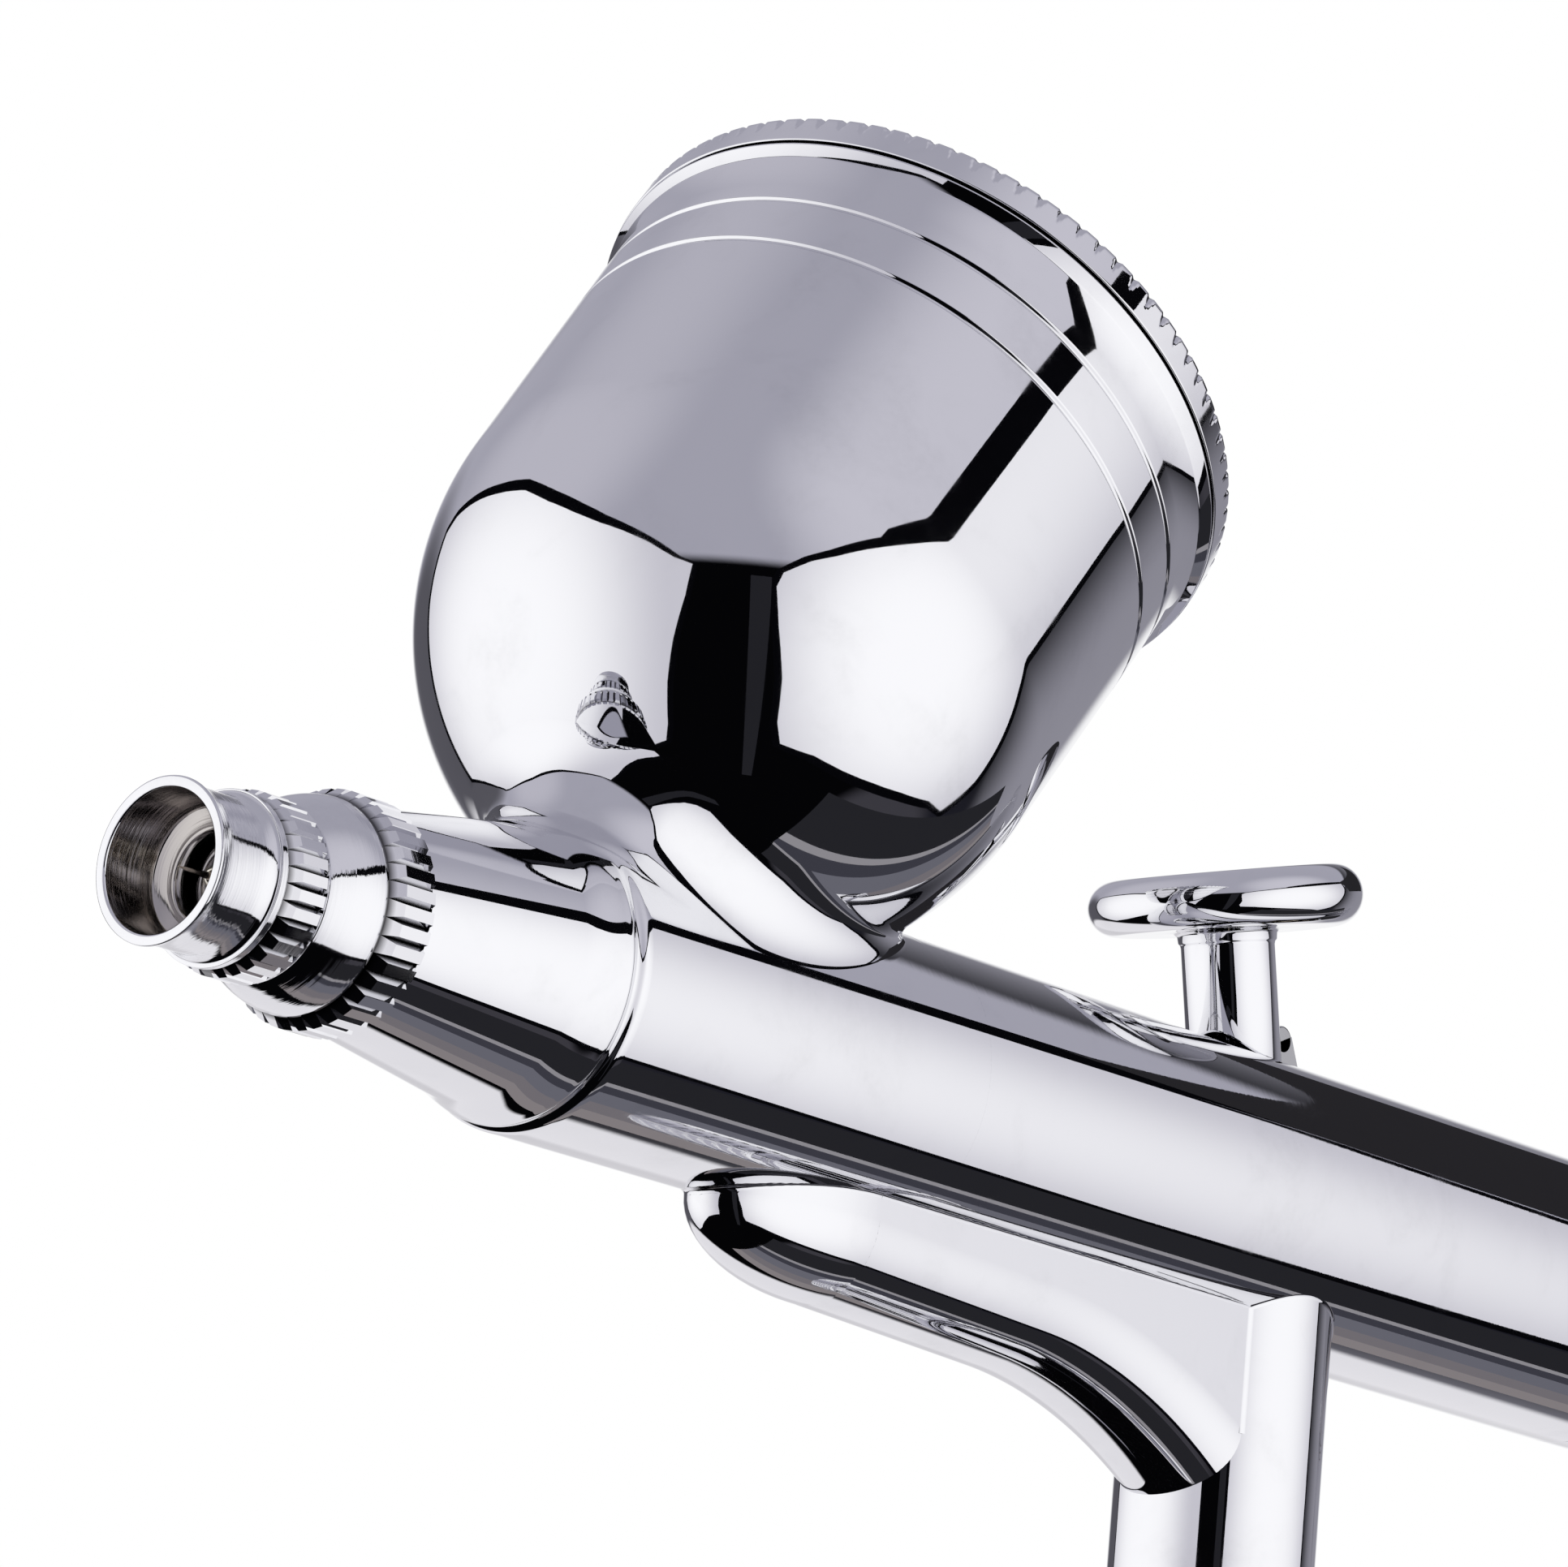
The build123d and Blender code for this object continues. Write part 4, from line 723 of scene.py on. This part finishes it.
# ---- Trigger and back lever ----
# A dished round finger pad on a leaning stem, a little thicker to the rear. It passes through the barrel's
# slot; its foot straddles the needle and stands on a ball. Machined steel, polished and plated.
lean, stem_foot_z = radians(12.2), 1.42
stem_axis = (-sin(lean), 0, cos(lean))
along_stem = about((0, 0, stem_foot_z), stem_axis, (0, 1, 0))
pad_h, pad_r, pad_t, pad_dish, stem_r, pad_wedge = 10.93, 5.7, 2.45, 0.35, 1.95, 0.043
edge_r, pad_low = pad_r - pad_t / 2, pad_h - pad_t / 2
needle_half, fork_top_z = 0.8, 5.4
slot_high_h = (fork_top_z - stem_foot_z) / cos(lean)
pad_line = [(0, slot_high_h), (stem_r, slot_high_h), (stem_r, pad_low - 0.62), (stem_r + 0.03, pad_low - 0.5),
            (stem_r + 0.1, pad_low - 0.42), (stem_r + 0.13, pad_low - 0.15), (stem_r + 0.28, pad_low),
            (3.2, pad_low), (4.2, pad_low)]
pad_line += [(edge_r + pad_t / 2 * sin(a), pad_h - pad_t / 2 * cos(a)) for a in np.linspace(0, pi, 33)]
pad_line += [(edge_r * t, pad_h + pad_t / 2 - pad_dish * (1 - t ** 2)) for t in np.linspace(1, 0, 12)[1:]]


def wedge(radius, h, angle):
    """Lift of the pad's upper half towards the rear."""
    share = np.clip((h - pad_low) / pad_t, 0, 1)
    return 0 * radius * angle, -pad_wedge * radius * np.sin(angle) * share


trigger_chrome = metal("trigger_chrome", axis=stem_axis, depth=0.0003, rings=2, wander=0.5, wave=0.0014)


def bar(path, y0, y1, thick):
    """Flat bar along an (x, z) path in the gun's middle plane, from y0 to y1."""
    path = np.array(path, float)
    run = unit(np.gradient(path, axis=0))
    across = spots(run[:, 1], -run[:, 0]) * thick / 2
    one, two = path + across, path - across

    def spot(p, y):
        return np.array([p[0], y, p[1]])

    quads = []
    for i in range(len(path) - 1):
        for edge, way in ((one, 1), (two, -1)):
            quads.append(([spot(edge[i], y0), spot(edge[i + 1], y0), spot(edge[i + 1], y1), spot(edge[i], y1)],
                          spot(across[i], 0) * way))
        for y, way in ((y0, -1), (y1, 1)):
            quads.append(([spot(one[i], y), spot(one[i + 1], y), spot(two[i + 1], y), spot(two[i], y)],
                          np.array([0, way, 0])))
    for i, way in ((0, -1), (-1, 1)):
        quads.append(([spot(one[i], y0), spot(one[i], y1), spot(two[i], y1), spot(two[i], y0)],
                      spot(run[i], 0) * way))
    return flats(quads)


def cheek(side):
    """One half of the stem's forked lower end, beside the needle."""
    origin, axis, zero, quarter = along_stem
    a0 = acos(needle_half / stem_r)
    turn = np.linspace(-a0, a0, 25)
    ring = [(side * stem_r * cos(t), stem_r * sin(t)) for t in turn]
    lean_ring = [(side * cos(t), sin(t)) for t in turn]
    ring += [(side * needle_half, ring[-1][1]), (side * needle_half, ring[0][1])]
    lean_ring += [(-side, 0)] * 2
    rows = [[origin + axis * h + zero * y + quarter * x for y, x in ring] for h in (-0.4, slot_high_h)]
    leans = [[zero * y + quarter * x for y, x in lean_ring]] * 2
    return grid(rows, leans)


foot_half, foot_z, ball_r, ball_z = 1.5, -1.5, 1.6, -3.9
foot, neck = ([(0, foot_z), (0, 1.2)], 3.0), ([(0, -3.0), (0, foot_z)], 1.95)
feet = [bar(path, *sides, thick) for path, thick in (foot, neck)
        for sides in ((-foot_half, -needle_half), (needle_half, foot_half))]
ball = [(ball_r * sin(a), ball_z - ball_r * cos(a)) for a in np.linspace(0, pi, 25)]
made("trigger_lever",
     [turned(pad_line, along_stem, 128, wedge), cheek(1), cheek(-1), *feet, turned(ball, along_valve, 64)],
     "finger_trigger", trigger_chrome, ["trigger"])

# The forked back lever stands behind the stem; only its rounded tip looks out of the slot.
lever_thick, lever_half, tip_half, knee = 1.2, 1.9, 0.65, (4.2, 1.2)
lever_low_z, fork_z, neck_z, tip_z = -3.1, 2.0, 3.6, 7.0
tip = ((stem_r + 0.06 + lever_thick / 2) / cos(lean) - (tip_z - stem_foot_z) * tan(lean), tip_z)


def on_slope(z):
    return knee[0] + (tip[0] - knee[0]) * (z - knee[1]) / (tip[1] - knee[1]), z


leg = [(knee[0], lever_low_z), knee, on_slope(fork_z)]
bars = [(leg, needle_half, lever_half), ([on_slope(fork_z), on_slope(neck_z)], -lever_half, lever_half),
        (leg, -lever_half, -needle_half), ([on_slope(neck_z), tip], -tip_half, tip_half)]
end_cap = about((tip[0], 0, tip[1]), (0, 1, 0), (0, 0, 1))
end_r = lever_thick / 2
cap_round = softened([(0, -tip_half), (end_r, -tip_half), (end_r, tip_half), (0, tip_half)], 0.1)
lever_steel = metal("lever_steel", (0.45, 0.45, 0.46), axis=(0, 1, 0), depth=0.0005, rings=7, clean=0.12, smeared=0.3)
made("back_lever_plate", [*(bar(*piece, lever_thick) for piece in bars), turned(cap_round, end_cap, 40)],
     "rocking_lever", lever_steel, ["back_lever"])

# ---- Handle and preset screw ----
# Long turned tail that screws over the barrel's end: three grooves, a slow taper to a waist, and an end with
# a threaded hole for the knurled preset screw.
front_x, end_x = (corner.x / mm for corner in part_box("handle"))
groove_cut, groove_wide, taper_x, waist_x, waist_r, end_r, end_round = 0.25, 0.32, 36, 72, 3.75, 4.0, 0.6
tail_line = [(5.2, front_x), (5.9, front_x), (5.97, front_x + 0.03), (barrel_r, front_x + 0.1)]
for groove_x in (28.0, 30.0, 32.0):
    tail_line += groove(barrel_r, groove_x, groove_cut, groove_wide, 11)
tail_line += [(barrel_r - (barrel_r - waist_r) * (t * t * (3 - 2 * t)), taper_x + (waist_x - taper_x) * t)
              for t in np.linspace(0, 1, 40)]
tail_line += [(waist_r + (end_r - waist_r) * t ** 1.3, waist_x + (end_x - end_round - waist_x) * t)
              for t in np.linspace(0, 1, 14)[1:]]
tail_line += [(end_r - end_round * (1 - cos(a)), end_x - end_round + end_round * sin(a))
              for a in np.linspace(0, pi / 2, 8)[1:]]
tail_line += [(1.98, end_x), (1.95, end_x - 4)]
handle_chrome = metal("handle_chrome", depth=0.0004, rings=2, wander=0.4, wave=0.0014)
made("handle_tail", [turned(tail_line, along_needle)], "tail", handle_chrome, ["handle"])

screw_x, knob_high = (corner.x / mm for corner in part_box("preset_screw"))
knob_low, screw_r, knob_core_r = knob_high - 5, 1.9, 2.95
knob_line = [(0, screw_x), (1.4, screw_x), (screw_r, screw_x + 0.5), (screw_r, knob_low), (2.9, knob_low),
             (knob_core_r, knob_low + 0.05), (knob_core_r, knob_high - 0.35), (2.6, knob_high - 0.05), (0, knob_high)]
made("preset_knob",
     [turned(knob_line, along_needle, 96), knurl(along_needle, 3.3, 3.0, 26, knob_low, knob_high, 0.3, 0.3)],
     "travel_stop", handle_chrome, ["preset_screw"])

# ---- Air valve casing ----
# Turned brass, plated, and screwed up into the guide: a knurled collar, a short neck, and below it the cut
# thread for the air hose.
collar_top, collar_low = guide_low_z - 0.04, guide_low_z - 5.0
inlet_top, inlet_low = collar_low - 1.2, (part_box("valve_casing")[0].z - axis_z) / mm
inlet_r, casing_bore_r, seat_z, neck_r, core_r = 4.86, 2.5, -19.5, 4.2, 4.7
pitch, thread_depth, thread_land = 0.907, 0.5, 0.12
neck_line = softened([(inlet_r, inlet_top - 0.3), (4.6, inlet_top), (neck_r, inlet_top), (neck_r, collar_low),
                      (core_r, collar_low), (core_r, collar_top), (guide_bore_r, collar_top)], 0.08)


def thread(radius, h, angle):
    """Depth of the hose thread's groove: a V that winds round once in each pitch."""
    depth = np.abs(((h - inlet_low) / pitch - angle / (2 * pi)) % 1 - 0.5) * 2
    ends = np.clip((h - inlet_low) / 0.5, 0, 1) * np.clip((inlet_top - 0.3 - h) / 0.4, 0, 1)
    cut = -thread_depth * np.clip(depth - thread_land, 0, 1) * ends
    return cut, np.zeros_like(cut)


thread_line = [(inlet_r, h) for h in np.linspace(inlet_low + 0.1, inlet_top - 0.3, 110)]
bore_line = [(casing_bore_r, seat_z), (casing_bore_r, inlet_low), (inlet_r - 0.4, inlet_low),
             (inlet_r, inlet_low + 0.1)]
casing_chrome = metal("casing_chrome", axis=(0, 0, 1), depth=0.0006, rings=4, wave=0.001)
made("valve_casing_shell",
     [turned(neck_line, along_valve, 128), turned(thread_line, along_valve, 128, thread),
      turned(bore_line, along_valve, 128), knurl(along_valve, 5.2, 4.85, 36, collar_low, collar_top, 0.3, 0.3)],
     "gun", casing_chrome, ["valve_casing"])

# ---- Inner pieces ----
# Springs of bright steel, turned brass fittings, a soft white packing and black rubber rings. They sit inside
# the body, the handle and the valve, and show only through the slot and the open ends.
spring_steel = metal("spring_steel", (0.6, 0.58, 0.55), depth=0.0003, rings=5, clean=0.12, smeared=0.25)
fitting_brass = metal("fitting_brass", (0.7, 0.62, 0.42), depth=0.0008, rings=7, clean=0.14, smeared=0.3)


def soft_material(name, colour, rough, grain):
    """Matt rubber or waxy plastic with a fine moulded grain."""
    material, tree, shader = new_material(name)
    speck = noise(tree, {"Vector": node(tree, "ShaderNodeTexCoord").outputs["Object"], "Scale": grain, "Detail": 3})
    paler = [min(1, c * 1.25 + 0.01) for c in colour]
    bump = node(tree, "ShaderNodeBump", {"Distance": 0.003 * mm, "Height": speck})
    fill(tree, shader, {"Base Color": mixed(tree, speck, colour, paler), "Normal": bump.outputs["Normal"],
                        "Roughness": ranged(tree, {"Value": speck, "To Min": rough - 0.1, "To Max": rough + 0.1})})
    return material


rubber = soft_material("black_rubber", (0.03, 0.03, 0.03), 0.55, 3000)
packing = soft_material("white_packing", (0.8, 0.8, 0.78), 0.45, 2000)
finishes = {
    rubber: ("nozzle_seal", "plunger_seal", "poppet_seal", "casing_gasket", "preset_ring"),
    packing: ("needle_packing",),
    fitting_brass: ("packing_screw", "seal_retainer", "valve_screw", "valve_poppet", "valve_plunger", "needle_guide",
                    "spring_case", "chuck_nut"),
    spring_steel: ("needle_spring", "valve_spring"),
}
for material, names in finishes.items():
    for name in names:
        nodes[name].data.materials.clear()
        nodes[name].data.materials.append(material)

# ---- Studio ----
# Two large soft boxes with black frames stand left and right of the gun, in a room with a pale lit ceiling. A
# dark hood and a grey cloth hang above it, dark bench strips lie below, and a pale floor keeps its shadow.
aim = np.array([-0.02, 0, 0.05])


def ray(azimuth, elevation):
    a, e = radians(azimuth), radians(elevation)
    return np.array([cos(a) * cos(e), sin(a) * cos(e), sin(e)])


def round_patch(tree, way, middle, inner, outer):
    """Mask that is 1 within an inner angle of a direction and falls softly to 0 at an outer one."""
    near = vector(tree, "DOT_PRODUCT", way, tuple(middle))
    return ranged(tree, {"Value": near, "From Min": cos(radians(outer)), "From Max": cos(radians(inner))},
                  "SMOOTHSTEP")


def glow(name, colour, rim=None, hot=None, reach=60):
    """Plain light of one colour, or one that fades from a hot middle to its rim's colour."""
    material, tree, _ = new_material(name)
    tree.nodes.clear()
    shade = (*colour, 1)
    if hot is not None:
        from_gun = vector(tree, "SUBTRACT", node(tree, "ShaderNodeNewGeometry").outputs["Position"], tuple(aim))
        shade = mixed(tree, round_patch(tree, vector(tree, "NORMALIZE", from_gun), hot, 0, reach), rim, colour)
    light = node(tree, "ShaderNodeEmission", {"Color": shade, "Strength": 1})
    node(tree, "ShaderNodeOutputMaterial", {"Surface": light.outputs[0]})
    return material


def board(name, corners, material, **visible):
    """Flat board of the studio through its corners; visible names the rays that see it or don't."""
    mesh = bpy.data.meshes.new(name)
    mesh.from_pydata(corners, [], [tuple(range(len(corners)))])
    mesh.materials.append(material)
    piece = placed(name, mesh)
    for rays, seen in visible.items():
        setattr(piece, "visible_" + rays, seen)


def card(name, corners, distance, material, diffuse=False):
    """Board whose corners lie in the given directions from the gun."""
    rays = [ray(a, e) for a, e in corners]
    facing = unit(sum(rays))
    places = [(aim + r * distance / float(r @ facing)).tolist() for r in rays]
    board(name, places, material, camera=False, shadow=False, diffuse=diffuse)


def grown(corners, by):
    """The same outline of directions, grown by an angle all round."""
    middle = unit(sum(ray(a, e) for a, e in corners))
    result = []
    for a, e in corners:
        r = ray(a, e)
        r = unit(r + unit(r - middle * float(r @ middle)) * tan(radians(by)))
        result.append((degrees(atan2(r[1], r[0])), degrees(asin(r[2]))))
    return result


right_box = [(-130, 5), (-128, 10), (-119, 15), (-110, 18), (-100, 21.5), (-90, 24), (-80, 26), (-65, 28),
             (-45, 29.5), (-26, 29), (-25, 18), (-26, 0), (-24, -20), (-26, -31), (-35, -34), (-50, -40.5),
             (-65, -45), (-80, -47.5), (-100, -47.5), (-118, -47), (-122, -40), (-124, -25), (-128, -8)]
left_box = [(82, 0), (81, 12), (82, 20), (86, 22.5), (95, 25.5), (110, 29), (125, 31), (140, 29), (155, 26),
            (165, 23.5), (175, 21), (185, 17.5), (195, 12.5), (201.5, 10.5), (200, 0), (196, -15), (193, -28),
            (190, -42), (187, -47.5), (170, -48), (145, -47), (115, -44), (95, -38), (84, -30), (82, -12)]
hood = [(-96, 24), (-66, 29), (-45, 30), (-22, 29), (-20, 31.5), (-34, 34), (-62, 35.5), (-90, 29.5)]
stand = [(-139, 8), (-132, 8), (-128, -60), (-134, -60)]
box_white, box_grey = (1.14, 1.14, 1.15), (0.66, 0.65, 0.71)
box_distance, stand_distance, hood_distance, frame_distance, frame_wide = 0.70, 0.72, 0.73, 0.74, 4
black_cloth = glow("black_cloth", (0.002, 0.002, 0.003))
right_cloth = glow("right_box_cloth", box_white, box_grey, ray(-78, -8), 62)
left_cloth = glow("left_box_cloth", box_white, box_grey, ray(132, -6), 64)
card("right_soft_box", right_box, box_distance, right_cloth, True)
card("left_soft_box", left_box, box_distance, left_cloth, True)
card("right_box_frame", grown(right_box, frame_wide), frame_distance, black_cloth)
card("left_box_frame", grown(left_box, frame_wide), frame_distance, black_cloth)
card("box_hood", hood, hood_distance, black_cloth)
card("box_stand", stand, stand_distance, glow("stand_paint", (0.018, 0.018, 0.022)))

# The bench under the gun: long strips parallel to the barrel, each between two angles from straight down.
near_end, far_end = 12, 84
for name, low, high, colour in (
        ("bench_cloth", -21, -12, (0.26, 0.235, 0.24)), ("bench_shade", -12, -3, (0.19, 0.175, 0.19)),
        ("bench_top", -3, 7, (0.15, 0.15, 0.18)), ("bench_front", 7, 13, (0.05, 0.05, 0.065)),
        ("bench_lip", 13, 16, (0.3, 0.29, 0.31)), ("bench_leg", 16, 34, (0.02, 0.02, 0.024))):
    corners = []
    for along_x, roll in ((near_end, low), (far_end, low), (far_end, high), (near_end, high)):
        t, turn = radians(along_x), radians(roll)
        r = np.array([cos(t), -sin(t) * sin(turn), -sin(t) * cos(turn)])
        corners.append((degrees(atan2(r[1], r[0])), degrees(asin(r[2]))))
    card(name, corners, box_distance, glow(name + "_paint", colour))

# A grey cloth hangs close above the handle.
cloth_front_x, cloth_rear_x, cloth_z = 0.12, 0.32, 0.139
cloth_corners = [(cloth_front_x, -0.07, cloth_z), (cloth_rear_x, -0.1, cloth_z), (cloth_rear_x, 0.09, cloth_z),
                 (cloth_front_x, 0.06, cloth_z)]
board("hung_cloth", cloth_corners, glow("grey_cloth", (0.022, 0.021, 0.024)), camera=False, shadow=False, diffuse=False)

world = bpy.data.worlds.new("studio")
bpy.context.scene.world = world
world.use_nodes = True
tree = world.node_tree
tree.nodes.clear()
way = node(tree, "ShaderNodeTexCoord").outputs["Generated"]
height = node(tree, "ShaderNodeSeparateXYZ", {0: way}).outputs["Z"]


def layer(below, colour, centre, inner, outer):
    """Mix a soft round patch of the room's walls, around a direction, over what lies below."""
    return mixed(tree, round_patch(tree, way, ray(*centre), inner, outer), below, colour)


ceiling = layer((0.41, 0.405, 0.475), (0.64, 0.63, 0.7), (-88, 34), 6, 44)
ceiling = layer(ceiling, (0.55, 0.54, 0.61), (125, 38), 8, 44)
lower = ranged(tree, {"Value": height, "From Min": sin(radians(11)), "From Max": sin(radians(15))}, "SMOOTHSTEP")
room = mixed(tree, lower, (0.0015, 0.0015, 0.002), ceiling)
for colour, centre, inner, outer in (
        ((0.02, 0.02, 0.024), (10, 5), 35.5, 38), ((0.1, 0.098, 0.115), (70, 2), 12, 24),
        ((0.29, 0.285, 0.33), (18, 2), 14, 46), ((0.014, 0.014, 0.02), (-20, -31), 6, 15),
        ((0.05, 0.048, 0.058), (-35, -54), 15, 22), ((0.86, 0.85, 0.88), (50, -26), 23, 27),
        ((0.95, 0.95, 0.96), (38, 8), 7, 20), ((0.68, 0.67, 0.7), (44, -6), 4, 12)):
    room = layer(room, colour, centre, inner, outer)
seen = node(tree, "ShaderNodeLightPath").outputs
filled = mixed(tree, seen["Is Diffuse Ray"], room, (0.7, 0.7, 0.71))
shown = mixed(tree, seen["Is Camera Ray"], filled, (1, 1, 1))
sky = node(tree, "ShaderNodeBackground", {"Color": shown})
node(tree, "ShaderNodeOutputWorld", {"Surface": sky.outputs[0]})

pale, tree, paper = new_material("pale_floor")
fill(tree, paper, {"Base Color": (0.9, 0.9, 0.9, 1), "Roughness": 0.9})
underside = node(tree, "ShaderNodeNewGeometry").outputs["Backfacing"]
clear = node(tree, "ShaderNodeBsdfTransparent").outputs[0]
one_sided = node(tree, "ShaderNodeMixShader", {0: underside, 1: paper.outputs[0], 2: clear})
fill(tree, tree.nodes["Material Output"], {"Surface": one_sided.outputs[0]})
board("floor", [(-4, -4, 0), (4, -4, 0), (4, 4, 0), (-4, 4, 0)], pale, glossy=False)

# ---- Camera ----
# A long lens at the front left. It stands a little under the floor's level and looks up, so the floor is
# clear from below.
lens = bpy.data.cameras.new("camera")
lens.lens = 193.12
lens.sensor_width = 36
lens.clip_start = 0.01
camera = placed("camera", lens)
right, up, back = (0.63669, -0.76655, 0.08387), (-0.22489, -0.08054, 0.97105), (-0.73760, -0.63712, -0.22367)
stood = (-0.270992, -0.207556, -0.023308)
camera.matrix_world = Matrix([*zip(right, up, back, stood), (0, 0, 0, 1)])
bpy.context.scene.camera = camera
bpy.context.scene.view_settings.view_transform = "Standard"
